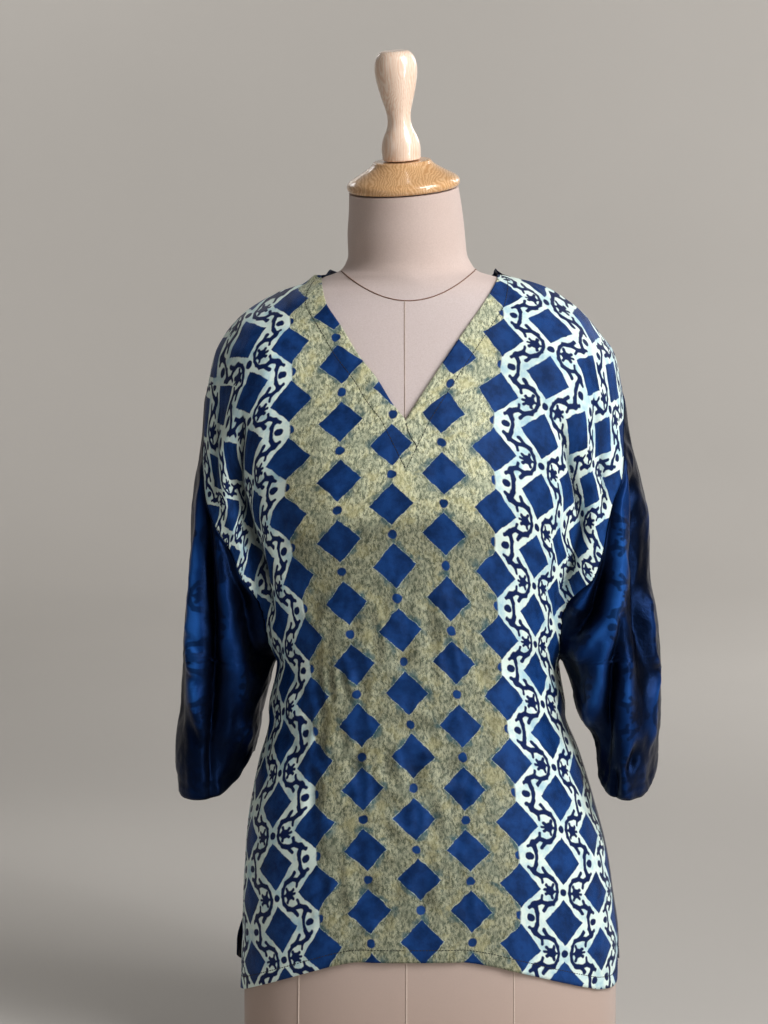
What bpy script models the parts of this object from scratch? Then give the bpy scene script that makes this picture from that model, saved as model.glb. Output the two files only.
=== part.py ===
"""A tunic top on a limbless dress form, in metres, +Z up, with the front facing -Y.

The form stands on its flat base at z = 0 and is topped by a turned wooden cap and a finial.
The tunic is four cut pieces of cloth: a front and a back that run out into the upper sleeves,
and two lower sleeves that hang empty. Every cloth piece is a thin wall, lofted through
horizontal rings that are worked out from the short tables below, all in millimetres.
"""
import math
from collections import namedtuple

import bmesh
import bpy
import numpy as np
from mathutils import Euler, Vector

MM = 0.001

# ---- driving sizes, in millimetres
CLOTH = 1.2           # wall of every cloth piece
SEAM_GAP = 0.4        # between two pieces along a seam
RISE = 1.2            # how far the cloth's rings are lifted off the form's
SPLIT = 388.0         # height where the sleeves part from the body
SLEEVE_TOP = 652.0    # tip of the lower sleeve, on the outer fold
VALLEY_TOP = 475.0    # below this height the sleeve seam runs in towards the underarm fold
VALLEY_BOTTOM = 436.0 # and below this one it lies in the fold
V_BOTTOM = 622.0      # point of the V neck
NAPE_BOTTOM = 738.0   # lowest point of the back neckline

NECK_TOP = (-1.5, -17.0, 834.0)   # centre of the neck's upper face
NECK_ROLL = 4.0                   # degrees that the cap leans to -X
NECK_NOD = 12.0                   # degrees that the cap leans forward
SEAT_GAP = 0.3                    # between turned pieces and what they sit on
SLEEVE_POWER = 2.1                # how square the sleeves' ovals are
RUN_OFF = 6.0                     # how steeply an oval's depth runs on below zero past its ends
VALLEY_REACH = (0.15, 0.5)        # shares of a ring's side between which the underarm fold lies

# ---- counts along the lofts
FORM_SIDES = 40
FRONT_COLUMNS = 12    # per half
BACK_COLUMNS = 10     # per half
SLEEVE_COLUMNS = 18
LOWER_ROWS = 11
CUFF_ROWS = 8
OUTLINE_POINTS = 241  # on the fine outline that the columns are read from

Torso = namedtuple("Torso", "z half_width front back power centre turn")
Neck = namedtuple("Neck", "z forward roll nod")
Ease = namedtuple("Ease", "z side front back")
Arm = namedtuple("Arm", "z left_fold left_inner right_fold right_inner depth soft")
Seam = namedtuple("Seam", "z left right")
Vee = namedtuple("Vee", "z left right")
Nape = namedtuple("Nape", "z half_width")
Hem = namedtuple("Hem", "z front back")
Cuff = namedtuple("Cuff", "z height")

# The padded torso and neck, base to top. `centre` is the middle of the section in X, and
# `turn` the degrees that its front faces towards -X.
FORM = [
    Torso(0, 175.0, 104, 118, 2.35, 26.0, 11.5),
    Torso(5, 176.5, 105, 119, 2.35, 26.0, 11.5),
    Torso(60, 176.5, 106, 121, 2.35, 26.0, 11.5),
    Torso(120, 175.5, 106, 122, 2.35, 26.0, 11.3),
    Torso(160, 172.0, 105, 122, 2.35, 24.2, 11.0),
    Torso(200, 166.0, 102, 120, 2.30, 22.0, 10.5),
    Torso(250, 155.5, 98, 112, 2.25, 17.5, 10.0),
    Torso(300, 141.0, 93, 100, 2.20, 15.2, 9.3),
    Torso(350, 127.5, 88, 88, 2.20, 12.5, 8.6),
    Torso(400, 119.5, 86, 82, 2.20, 13.5, 8.0),
    Torso(430, 120.0, 88, 82, 2.20, 13.5, 7.5),
    Torso(500, 131.0, 102, 90, 2.20, 12.0, 6.5),
    Torso(560, 141.0, 120, 94, 2.20, 10.0, 5.5),
    Torso(600, 146.0, 114, 94, 2.20, 8.5, 5.0),
    Torso(650, 156.0, 98, 92, 2.20, 8.0, 4.0),
    Torso(690, 167.0, 83, 88, 2.10, 8.0, 3.2),
    Torso(710, 164.0, 76, 84, 2.00, 8.0, 2.8),
    Torso(725, 146.0, 70, 80, 1.85, 9.0, 2.5),
    Torso(737, 126.5, 65.5, 76, 1.70, 11.0, 2.2),
    Torso(744, 110.0, 62.5, 73, 1.65, 14.0, 2.0),
    Torso(749, 96.5, 60.5, 70, 1.65, 12.0, 2.0),
    Torso(754, 79.5, 58.5, 67, 1.70, 5.0, 1.8),
    Torso(759, 65.0, 57, 63, 1.85, 3.4, 1.6),
    Torso(766, 59.2, 55, 59, 1.95, 3.0, 1.4),
    Torso(775, 55.8, 54, 56, 2.00, 2.2, 1.2),
    Torso(795, 55.0, 53.5, 54, 2.00, 0.8, 1.0),
    Torso(815, 53.0, 52, 52, 2.00, 0.0, 0.5),
    Torso(834, 51.0, 51, 51, 2.00, -1.5, 0.0),
]

# How the neck leans forward and how its rings tip towards the cap's slope.
NECK = [
    Neck(0, 0.0, 0.0, 0.0),
    Neck(754, 0.0, 0.0, 0.0),
    Neck(775, -3.5, 0.5, 2.0),
    Neck(800, -8.5, 2.0, 6.0),
    Neck(834, -17.0, NECK_ROLL, NECK_NOD),
]

# How far the body of the tunic hangs clear of the form.
EASE = [
    Ease(60, 2.6, 2.6, 2.6),
    Ease(130, 2.6, 3.0, 2.6),
    Ease(160, 2.8, 4.0, 2.6),
    Ease(200, 5.0, 8.0, 3.0),
    Ease(250, 7.5, 10.5, 4.0),
    Ease(300, 9.5, 13.0, 6.0),
    Ease(330, 7.7, 15.5, 8.0),
    Ease(350, 12.0, 18.0, 10.0),
    Ease(388, 12.5, 21.0, 12.0),
    Ease(404, 19.0, 21.0, 12.0),
    Ease(424, 26.0, 20.0, 11.0),
    Ease(453, 31.0, 17.0, 9.0),
    Ease(485, 31.0, 12.0, 6.0),
    Ease(520, 29.0, 8.0, 4.0),
    Ease(560, 26.0, 3.0, 3.0),
    Ease(600, 24.0, 3.0, 3.0),
    Ease(650, 16.0, 2.4, 2.4),
    Ease(690, 5.0, 2.0, 2.0),
    Ease(710, 2.0, 1.6, 2.2),
    Ease(735, 1.4, 1.4, 3.4),
    Ease(756, 1.4, 1.4, 3.8),
]

# The sleeves, as ovals between their outer fold and inner edge. `soft` is how widely an
# oval blends into the body.
ARMS = [
    Arm(255, -211, -153, 236, 182, 50, 4),
    Arm(280, -213.5, -150, 239.5, 180.5, 53, 4),
    Arm(300, -215, -147.5, 241.5, 180, 55, 4),
    Arm(325, -215, -142, 243, 177, 57, 4),
    Arm(350, -213.5, -136, 244, 165, 58, 4),
    Arm(375, -212.5, -129, 244, 157, 59, 4),
    Arm(388, -212, -124, 244, 151, 60, 4),
    Arm(424, -210.6, -111, 240.5, 137, 62, 8),
    Arm(470, -206, -105, 232.6, 129, 62, 14),
    Arm(510, -202.2, -99, 231, 118, 62, 22),
    Arm(560, -197, -90, 224, 105, 63, 36),
    Arm(600, -191.7, -85, 213.5, 100, 64, 50),
    Arm(640, -187.4, -75, 206, 90, 62, 60),
    Arm(680, -179.4, -60, 198, 75, 56, 50),
    Arm(700, -169, -50, 184, 65, 46, 40),
    Arm(720, -151, -40, 167, 55, 34, 12),
    Arm(740, -117, -30, 140, 45, 20, 5),
    Arm(747, -96, -25, 124, 40, 14, 4),
    Arm(756, -84, -20, 88, 35, 8, 4),
]

# How far in from the outer fold the seam of the lower sleeve lies, seen from the front.
SEAMS = [
    Seam(450, 68, 77),
    Seam(475, 53, 58),
    Seam(500, 41, 49),
    Seam(520, 26, 44),
    Seam(545, 14, 34),
    Seam(565, 9, 22),
    Seam(590, 5, 13),
    Seam(620, 2, 5),
    Seam(640, 0.5, 1.0),
    Seam(652, 0.05, 0.05),
]

# The edges of the V neck, seen from the front.
VEE = [
    Vee(622, -0.5, -0.5),
    Vee(637, -12.6, 9.1),
    Vee(657, -25.0, 22.3),
    Vee(680, -42.8, 37.9),
    Vee(706, -58.7, 55.8),
    Vee(730, -73.9, 73.0),
    Vee(750, -78.5, 85.0),
    Vee(755, -79.3, 87.0),
]

# The edge of the back neckline, as a half width about the centre back.
NAPE = [
    Nape(738, 0.0),
    Nape(741, 34.0),
    Nape(745, 54.0),
    Nape(750, 69.0),
    Nape(755, 78.0),
]

# Hem height; `z` here is the share of the way from the centre to the side.
HEM = [
    Hem(0.00, 125, 94),
    Hem(0.20, 125, 94),
    Hem(0.30, 121, 94),
    Hem(0.40, 114, 94),
    Hem(0.50, 106, 94),
    Hem(0.60, 98, 94),
    Hem(0.70, 90, 94),
    Hem(0.80, 83, 94),
    Hem(0.90, 80, 95),
    Hem(0.96, 81, 98),
    Hem(1.00, 88, 104),
]

# Cuff height; `z` is the share of the way round from the inner edge over the front.
CUFF = [
    Cuff(0.00, 304),
    Cuff(0.05, 290),
    Cuff(0.10, 277),
    Cuff(0.16, 269),
    Cuff(0.25, 264),
    Cuff(0.33, 265),
    Cuff(0.38, 270),
    Cuff(0.42, 277),
    Cuff(0.46, 285),
    Cuff(0.50, 291),
    Cuff(0.75, 288),
    Cuff(0.90, 296),
    Cuff(1.00, 304),
]

# Rows of the panels above the split, top to bottom.
UPPER_HEIGHTS = [755, 750, 745, 741, 738, 731, 722, 711, 699, 686, 670, 652, 637, 622, 605, 588,
                 570, 552, 534, 516, 500, 484, 468, 456, 446, 436, 424, 408]

# Turned profiles, as (radius, height) above the seat, top to bottom down the outer side.
CAP_PROFILE = [(0, 27), (25, 27), (27.5, 25.6), (31, 22), (38, 17.5), (46.5, 12.8),
               (51.5, 9), (53.2, 5.5), (52.4, 2), (50, 0), (0, 0)]
FINIAL_PROFILE = [(0, 100.5), (12.0, 100.5), (14.8, 98.8), (17.8, 94.5), (19.6, 88), (20.0, 81.5),
                  (18.8, 72), (15.8, 59), (12.6, 48), (10.8, 38), (11.4, 31), (14.6, 25),
                  (17.4, 18.5), (18.3, 12), (18.0, 3), (17.2, 0), (0, 0)]
CAP_SIDES = 36
FINIAL_SIDES = 28


# ---- reading the tables

def along(table, column, where):
    """A column's value at one or many heights, on a smooth curve that never overshoots."""
    z = np.array([row.z for row in table], float)
    v = np.array([getattr(row, column) for row in table], float)
    step = np.diff(z)
    rate = np.diff(v) / step
    slope = np.empty_like(v)
    slope[0] = rate[0]
    slope[-1] = rate[-1]
    product = rate[:-1] * rate[1:]
    total = np.where(product > 0, rate[:-1] + rate[1:], 1.0)
    slope[1:-1] = np.where(product > 0, 2 * product / total, 0.0)
    where = np.clip(np.asarray(where, float), z[0], z[-1])
    i = np.clip(np.searchsorted(z, where) - 1, 0, len(z) - 2)
    h = step[i]
    t = (where - z[i]) / h
    return (v[i] * (1 + 2 * t) * (1 - t) ** 2 + v[i + 1] * t * t * (3 - 2 * t)
            + h * slope[i] * t * (1 - t) ** 2 - h * slope[i + 1] * t * t * (1 - t))


# ---- horizontal outlines of the cloth

def oval(x, centre, half_width, depth, power):
    """Depth of an oval at each x. Past its ends it runs on below zero, so ovals can blend."""
    u = np.abs(x - centre) / half_width
    inside = np.clip(1 - u ** power, 0, 1) ** (1 / power)
    return depth * (inside - RUN_OFF * np.clip(u - 1, 0, None))


def blend(a, b, width):
    """The larger of two depths, rounded over where they meet."""
    top = np.maximum(a, b)
    width = np.clip(np.minimum(width, top), 1e-6, None)
    overlap = np.clip(width - np.abs(a - b), 0, None) / width
    return top + overlap ** 2 * width / 4


def body_oval(z, face):
    """Centre, half width, depth and power of the tunic's body at a height."""
    column = "front" if face < 0 else "back"
    low = z - RISE
    return (along(FORM, "centre", low),
            along(FORM, "half_width", low) + along(EASE, "side", z),
            along(FORM, column, low) + along(EASE, column, z),
            along(FORM, "power", low))


def arm_oval(z, side):
    """The same for a sleeve; side is -1 for the one at -X."""
    name = "left" if side < 0 else "right"
    fold = along(ARMS, name + "_fold", z)
    inner = along(ARMS, name + "_inner", z)
    return (fold + inner) / 2, abs(fold - inner) / 2, along(ARMS, "depth", z), SLEEVE_POWER


def spread(low, high):
    """Places between two ends, closer together towards the ends."""
    t = (1 - np.cos(np.linspace(0, math.pi, OUTLINE_POINTS))) / 2
    return low + (high - low) * t


def place(x, depth, z, face):
    """Outline points in the plane, with the section turned as the torso is."""
    y = face * np.clip(depth, 0, None)
    return np.column_stack([x + y * math.tan(math.radians(along(FORM, "turn", z))), y])


def body_outline(z, face):
    """One side of the body's ring below the split, from -X to +X."""
    centre, half, depth, power = body_oval(z, face)
    x = spread(centre - half, centre + half)
    return place(x, oval(x, centre, half, depth, power), z, face)


def arm_outline(z, face, side):
    """One side of a sleeve's ring below the split, from -X to +X."""
    centre, half, depth, power = arm_oval(z, side)
    x = spread(centre - half, centre + half)
    return place(x, oval(x, centre, half, depth, power), z, face)


def whole_outline(z, face):
    """One side of the ring above the split, where body and sleeves are one cloth."""
    centre, half, depth, power = body_oval(z, face)
    left = arm_oval(z, -1)
    right = arm_oval(z, 1)
    x = spread(min(centre - half, left[0] - left[1]), max(centre + half, right[0] + right[1]))
    soft = along(ARMS, "soft", z)
    deep = blend(oval(x, centre, half, depth, power), oval(x, *left), soft)
    return place(x, blend(deep, oval(x, *right), soft), z, face)


class Edge:
    """One side of a ring at one height: fine points and outward normals by arc length."""

    def __init__(self, outline, z, face, flipped=False):
        here, above, below = (outline(h, face) for h in (z, z + 1, z - 1))
        heights = np.full(len(here), float(z))
        self.points = np.column_stack([here, heights])
        rising = np.column_stack([above - below, np.full(len(here), 2.0)])
        normals = -face * np.cross(np.gradient(self.points, axis=0), rising)
        self.normals = normals / np.linalg.norm(normals, axis=1)[:, None]
        if flipped:
            self.points = self.points[::-1]
            self.normals = self.normals[::-1]
        steps = np.linalg.norm(np.diff(self.points, axis=0), axis=1)
        self.arc = np.concatenate([[0], np.cumsum(steps)])
        self.length = self.arc[-1]

    def at(self, arc):
        """Point and normal at an arc length from the start."""
        point = [np.interp(arc, self.arc, self.points[:, k]) for k in range(3)]
        normal = [np.interp(arc, self.arc, self.normals[:, k]) for k in range(3)]
        return point, normal

    def arc_at_x(self, x):
        """Arc length where the side reaches a given x, on its way across the body."""
        xs = np.maximum.accumulate(self.points[:, 0] * np.sign(self.points[-1, 0] - self.points[0, 0]))
        return float(np.interp(x * np.sign(self.points[-1, 0] - self.points[0, 0]), xs, self.arc))

    def valley(self):
        """Arc length of the underarm fold, the shallowest place in the first half."""
        first, last = (share * self.length for share in VALLEY_REACH)
        near = (self.arc > first) & (self.arc < last)
        depth = np.abs(self.points[:, 1])
        return float(self.arc[near][np.argmin(depth[near])])


def seam_arc(edge, z, side):
    """Arc length from the outer fold to the lower sleeve's seam, on an edge that starts there."""
    if z > SLEEVE_TOP:
        return 0.0
    inset = along(SEAMS, "left" if side < 0 else "right", z)
    arc = edge.arc_at_x(edge.points[0, 0] - side * inset)
    near = np.clip((VALLEY_TOP - z) / (VALLEY_TOP - VALLEY_BOTTOM), 0, 1)
    return arc + (edge.valley() - arc) * near * near * (3 - 2 * near)


# ---- sheets and walls

class Sheet:
    """Points, outward normals and triangles of one cloth piece, joined where grids share points."""

    def __init__(self):
        self.index = {}
        self.points = []
        self.normals = []
        self.triangles = []

    def vertex(self, point, normal):
        key = tuple(round(c, 2) for c in point)
        if key not in self.index:
            self.index[key] = len(self.points)
            self.points.append(np.array(point, float))
            self.normals.append(np.zeros(3))
        found = self.index[key]
        self.normals[found] += np.array(normal, float)
        return found

    def add_grid(self, rows):
        """rows is a list of rows of (point, normal) pairs, all of one length."""
        ids = [[self.vertex(point, normal) for point, normal in row] for row in rows]
        found = []
        for upper, lower in zip(ids, ids[1:]):
            for j in range(len(upper) - 1):
                a, b, c, d = upper[j], upper[j + 1], lower[j + 1], lower[j]
                found += [t for t in ((a, b, c), (a, c, d)) if len(set(t)) == 3]
        outward = sum(self.facing(t) for t in found) > 0
        self.triangles += [t if outward else t[::-1] for t in found]

    def facing(self, triangle):
        p, q, r = (self.points[i] for i in triangle)
        return np.dot(np.cross(q - p, r - p), sum(self.normals[i] for i in triangle))


def cloth_piece(name, sheet, thickness, material):
    """A closed wall of even thickness about a sheet, with a rim along its free edges."""
    points = np.array(sheet.points)
    normals = np.array(sheet.normals)
    normals /= np.linalg.norm(normals, axis=1)[:, None]
    count = len(points)
    outer = points + normals * thickness / 2
    inner = points - normals * thickness / 2
    faces = list(sheet.triangles)
    faces += [(a + count, c + count, b + count) for a, b, c in sheet.triangles]
    edges = {}
    for a, b, c in sheet.triangles:
        for start, end in ((a, b), (b, c), (c, a)):
            edges[start, end] = edges.get((start, end), 0) + 1
    for start, end in edges:
        if (end, start) not in edges:
            faces.append((end, start, start + count))
            faces.append((end, start + count, end + count))
    mesh = bpy.data.meshes.new(name)
    mesh.from_pydata(np.vstack([outer, inner]) * MM, [], faces)
    return add_object(name, mesh, material)


# ---- the cloth pieces

def panel(face, columns, opening_bottom, opening):
    """A front or back as two half grids that join below the neck opening."""
    sheet = Sheet()
    for side in (-1, 1):
        rows = []
        for z in UPPER_HEIGHTS:
            edge = Edge(whole_outline, z, face, flipped=side > 0)
            seam = seam_arc(edge, z, side)
            end = edge.arc_at_x(opening(z, side) if z > opening_bottom else centre_line(z, face))
            row = [edge.at(arc) for arc in np.linspace(seam + SEAM_GAP / 2, end, columns + 1)]
            row[0] = (row[0][0], edge.at(seam)[1])
            if z <= opening_bottom:
                row[-1] = centre_point(whole_outline, z, face)
            rows.append(row)
        for t in np.linspace(0, 1, LOWER_ROWS):
            row = []
            for share in np.linspace(0, 1, columns + 1):
                hem = along(HEM, "front" if face < 0 else "back", 1 - share)
                z = SPLIT + (hem - SPLIT) * t
                edge = Edge(body_outline, z, face, flipped=side > 0)
                start = SEAM_GAP / 2
                end = edge.arc_at_x(centre_line(z, face))
                row.append(edge.at(start + (end - start) * share))
            row[-1] = centre_point(body_outline, z, face)
            rows.append(row)
        sheet.add_grid(rows)
    return sheet


def centre_line(z, face):
    """The centre front or centre back of the cloth at a height."""
    if face < 0:
        return -0.5 + 1.5 * (V_BOTTOM - z) / V_BOTTOM
    centre, half, depth, power = body_oval(z, face)
    return centre + depth * math.tan(math.radians(along(FORM, "turn", z)))


def centre_point(outline, z, face):
    """The point on the centre line, read one way so that both halves share it."""
    edge = Edge(outline, z, face)
    return edge.at(edge.arc_at_x(centre_line(z, face)))


def vee_opening(z, side):
    return along(VEE, "left" if side < 0 else "right", z)


def nape_opening(z, side):
    return centre_line(z, 1) + side * along(NAPE, "half_width", z)


def sleeve(side):
    """A lower sleeve: a strip about the outer fold that closes to a tube below the split."""
    shares = np.linspace(0, 1, SLEEVE_COLUMNS + 1)
    sheet = Sheet()
    rows = []
    for z in UPPER_HEIGHTS:
        if z <= SLEEVE_TOP:
            rows.append([around_arm(whole_outline, z, side, share, False) for share in shares])
    for t in np.linspace(0, 1, CUFF_ROWS):
        row = []
        for share in shares:
            z = SPLIT + (along(CUFF, "height", share) - SPLIT) * t
            row.append(around_arm(lambda h, face: arm_outline(h, face, side), z, side, share, True))
        rows.append(row)
    sheet.add_grid(rows)
    return sheet


def around_arm(outline, z, side, share, closed):
    """A point on the sleeve; share runs from the inner front over the fold to the inner back."""
    face = -1 if share < 0.5 else 1
    edge = Edge(outline, z, face, flipped=side > 0)
    if closed:
        return edge.at(edge.length * abs(1 - 2 * share))
    seam = seam_arc(edge, z, side)
    point, normal = edge.at((seam - SEAM_GAP / 2) * abs(1 - 2 * share))
    if share in (0, 1):
        normal = edge.at(seam)[1]
    return point, normal


# ---- the form and its turned wood

def dress_form(material):
    """The torso and neck as one loft through superellipse rings, closed flat at both ends."""
    angles = np.linspace(0, 2 * math.pi, FORM_SIDES, endpoint=False)
    c, s = np.cos(angles), np.sin(angles)
    mesh = bmesh.new()
    rings = []
    for row in FORM:
        x = row.half_width * np.sign(c) * np.abs(c) ** (2 / row.power)
        y = np.where(s < 0, row.front, row.back) * np.sign(s) * np.abs(s) ** (2 / row.power)
        roll = math.tan(math.radians(along(NECK, "roll", row.z)))
        nod = math.tan(math.radians(along(NECK, "nod", row.z)))
        z = row.z + x * roll + y * nod
        x = row.centre + x + y * math.tan(math.radians(row.turn))
        y = y + along(NECK, "forward", row.z)
        rings.append([mesh.verts.new(Vector(p) * MM) for p in zip(x, y, z)])
    for low, high in zip(rings, rings[1:]):
        for i in range(FORM_SIDES):
            j = (i + 1) % FORM_SIDES
            mesh.faces.new((low[i], low[j], high[j], high[i]))
    mesh.faces.new(rings[0][::-1])
    mesh.faces.new(rings[-1])
    data = bpy.data.meshes.new("dress_form")
    mesh.to_mesh(data)
    mesh.free()
    data.shade_smooth()
    return add_object("dress_form", data, material)


def turned(name, profile, sides, lift, parent, material):
    """A turned piece: its profile runs down the outer side at +X, spun by a Screw modifier."""
    data = bpy.data.meshes.new(name)
    points = [(r * MM, 0, (h + lift) * MM) for r, h in profile]
    data.from_pydata(points, [(i, i + 1) for i in range(len(points) - 1)], [])
    piece = add_object(name, data, material)
    spin = piece.modifiers.new("Spin", 'SCREW')
    spin.steps = sides
    spin.render_steps = sides
    spin.use_merge_vertices = True
    spin.merge_threshold = 0.0001
    piece.parent = parent
    return piece


def neck_axis():
    """An empty on the neck's upper face, tipped as the cap is."""
    empty = bpy.data.objects.new("neck_axis", None)
    empty.location = Vector(NECK_TOP) * MM
    empty.rotation_euler = Euler((math.radians(NECK_NOD), -math.radians(NECK_ROLL), 0))
    COLLECTION.objects.link(empty)
    return empty


# ---- objects and materials

def add_object(name, mesh, material):
    mesh.materials.append(material)
    piece = bpy.data.objects.new(name, mesh)
    COLLECTION.objects.link(piece)
    return piece


def finish(name, colour, roughness):
    """A Principled material of one colour, given in linear light."""
    material = bpy.data.materials.new(name)
    material.use_nodes = True
    shader = material.node_tree.nodes["Principled BSDF"]
    shader.inputs["Base Color"].default_value = (*colour, 1)
    shader.inputs["Roughness"].default_value = roughness
    shader.inputs["Metallic"].default_value = 0.0
    return material


for old in list(bpy.data.objects):
    bpy.data.objects.remove(old)

COLLECTION = bpy.data.collections.new("tunic_top_on_dress_form")
bpy.context.scene.collection.children.link(COLLECTION)

dress_form(finish("form_fabric", (0.42, 0.33, 0.28), 0.85))
axis = neck_axis()
turned("neck_cap", CAP_PROFILE, CAP_SIDES, SEAT_GAP, axis, finish("cap_wood", (0.45, 0.22, 0.08), 0.2))
turned("finial", FINIAL_PROFILE, FINIAL_SIDES, 2 * SEAT_GAP + CAP_PROFILE[0][1], axis,
       finish("finial_wood", (0.65, 0.42, 0.22), 0.2))

front = panel(-1, FRONT_COLUMNS, V_BOTTOM, vee_opening)
cloth_piece("front_panel", front, CLOTH, finish("printed_satin", (0.20, 0.26, 0.18), 0.45))
back = panel(1, BACK_COLUMNS, NAPE_BOTTOM, nape_opening)
cloth_piece("back_panel", back, CLOTH, finish("back_satin", (0.01, 0.02, 0.08), 0.4))
for name, side in (("sleeve_left", -1), ("sleeve_right", 1)):
    cloth_piece(name, sleeve(side), CLOTH, finish(name + "_satin", (0.01, 0.02, 0.08), 0.4))
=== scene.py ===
# %% [markdown]
# # A block-printed satin tunic on a dress form
#
# The real object is a soft satin tunic with a V neck and dolman sleeves, put on a padded form
# with a turned wooden cap and knob. The solids of every piece are already made and packed. This
# lesson dresses them: the cloth is lofted again from the same tables at a finer pitch, with its
# folds, seams and print, and the form and its wood get their seams, grain and lacquer.

# %% Load the frame
import math
from collections import namedtuple

import bmesh
import bpy
import numpy as np
from mathutils import Euler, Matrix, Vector, noise
from mathutils.bvhtree import BVHTree


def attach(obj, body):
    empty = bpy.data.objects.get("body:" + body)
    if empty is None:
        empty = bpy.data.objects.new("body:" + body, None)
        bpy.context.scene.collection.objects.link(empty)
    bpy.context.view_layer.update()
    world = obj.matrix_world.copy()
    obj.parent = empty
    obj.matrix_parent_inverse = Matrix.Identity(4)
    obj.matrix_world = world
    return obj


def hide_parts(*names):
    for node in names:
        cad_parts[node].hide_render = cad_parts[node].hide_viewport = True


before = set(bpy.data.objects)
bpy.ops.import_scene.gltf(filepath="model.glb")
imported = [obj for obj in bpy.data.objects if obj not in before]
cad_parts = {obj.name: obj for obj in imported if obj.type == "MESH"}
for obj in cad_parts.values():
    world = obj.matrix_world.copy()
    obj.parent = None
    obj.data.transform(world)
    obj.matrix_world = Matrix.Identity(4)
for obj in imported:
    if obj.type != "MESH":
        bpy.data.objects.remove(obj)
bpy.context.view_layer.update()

MM = 0.001


def table(columns, text):
    """Rows of numbers with named columns."""
    Row = namedtuple("Row", columns)
    return [Row(*map(float, line.split())) for line in text.strip().splitlines()]


print("solids:", sorted(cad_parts))

# %% [markdown]
# ## The tables
#
# The form is a stack of superellipse rings, and the cloth follows it with some ease. The sleeves
# are ovals that blend into the body above the height where they part from it. All are in
# millimetres, and they are the sizes that the solids were made from.

# %% Sizes of the form
NECK_TOP = (-1.5, -17.0, 834.0)
NECK_ROLL = 4.0
NECK_NOD = 12.0

FORM = table("z half_width front back power centre turn", """
0 175 104 118 2.35 26 11.5
5 176.5 105 119 2.35 26 11.5
60 176.5 106 121 2.35 26 11.5
120 175.5 106 122 2.35 26 11.3
160 172 105 122 2.35 24.2 11
200 166 102 120 2.3 22 10.5
250 155.5 98 112 2.25 17.5 10
300 141 93 100 2.2 15.2 9.3
350 127.5 88 88 2.2 12.5 8.6
400 119.5 86 82 2.2 13.5 8
430 120 88 82 2.2 13.5 7.5
500 131 102 90 2.2 12 6.5
560 141 120 94 2.2 10 5.5
600 146 114 94 2.2 8.5 5
650 156 98 92 2.2 8 4
690 167 83 88 2.1 8 3.2
710 164 76 84 2 8 2.8
725 146 70 80 1.85 9 2.5
737 126.5 65.5 76 1.7 11 2.2
744 110 62.5 73 1.65 14 2
749 96.5 60.5 70 1.65 12 2
754 79.5 58.5 67 1.7 5 1.8
759 65 57 63 1.85 3.4 1.6
766 59.2 55 59 1.95 3 1.4
775 55.8 54 56 2 2.2 1.2
795 55 53.5 54 2 0.8 1
815 53 52 52 2 0 0.5
834 51 51 51 2 -1.5 0
""")

NECK = table("z forward roll nod", """
0 0 0 0
754 0 0 0
775 -3.5 0.5 2
800 -8.5 2 6
834 -17 4 12
""")

# %% Sizes of the tunic
RISE = 1.2             # how far the cloth's rings are lifted off the form's
SPLIT = 388.0          # height where the sleeves part from the body
SLEEVE_TOP = 652.0     # tip of the lower sleeve
VALLEY_TOP = 475.0     # the sleeve seam runs into the underarm fold between these two heights
VALLEY_BOTTOM = 436.0
V_BOTTOM = 622.0       # point of the V neck
NAPE_BOTTOM = 738.0    # lowest point of the back neckline
CLOTH_TOP = 755.0      # where the shoulder seam meets the neckline
SLEEVE_POWER = 2.1     # how square the sleeves' ovals are
RUN_OFF = 6.0          # how steeply an oval's depth runs on below zero past its ends
VALLEY_REACH = (0.15, 0.5)

EASE = table("z side front back", """
60 2.6 2.6 2.6
130 2.6 3 2.6
160 2.8 4 2.6
200 5 8 3
250 7.5 10.5 4
300 9.5 13 6
330 7.7 15.5 8
350 12 18 10
388 12.5 21 12
404 19 21 12
424 26 20 11
453 31 17 9
485 31 12 6
520 29 8 4
560 26 3 3
600 24 3 3
650 16 2.4 2.4
690 5 2 2
710 2 1.6 2.2
735 1.4 1.4 3.4
756 1.4 1.4 3.8
""")

ARMS = table("z left_fold left_inner right_fold right_inner depth soft", """
255 -211 -153 236 182 50 4
280 -213.5 -150 239.5 180.5 53 4
300 -215 -147.5 241.5 180 55 4
325 -215 -142 243 177 57 4
350 -213.5 -136 244 165 58 4
375 -212.5 -129 244 157 59 4
388 -212 -124 244 151 60 4
424 -210.6 -111 240.5 137 62 8
470 -206 -105 232.6 129 62 14
510 -202.2 -99 231 118 62 22
560 -197 -90 224 105 63 36
600 -191.7 -85 213.5 100 64 50
640 -187.4 -75 206 90 62 60
680 -179.4 -60 198 75 56 50
700 -169 -50 184 65 46 40
720 -151 -40 167 55 34 12
740 -117 -30 140 45 20 5
747 -96 -25 124 40 14 4
756 -84 -20 88 35 8 4
""")

SEAMS = table("z left right", """
450 68 77
475 53 58
500 41 49
520 26 44
545 14 34
565 9 22
590 5 13
620 2 5
640 0.5 1
652 0.05 0.05
""")

VEE = table("z left right", """
622 -0.5 -0.5
637 -12.6 9.1
657 -25 22.3
680 -42.8 37.9
706 -58.7 55.8
730 -73.9 73
750 -78.5 85
755 -79.3 87
""")

NAPE = table("z half_width", """
738 0
741 34
745 54
750 69
755 78
""")

# `z` is the share of the way from the centre to the side.
HEM = table("z front back", """
0 125 94
0.2 125 94
0.3 121 94
0.4 114 94
0.5 106 94
0.6 98 94
0.7 90 94
0.8 83 94
0.9 80 95
0.96 81 98
1 88 104
""")

# `z` is the share of the way round from the inner edge over the front.
CUFF = table("z height", """
0 304
0.05 290
0.1 277
0.16 269
0.25 264
0.33 265
0.38 270
0.42 277
0.46 285
0.5 291
0.75 288
0.9 296
1 304
""")
print("form rings:", len(FORM), "ease rows:", len(EASE), "sleeve rows:", len(ARMS))

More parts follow.
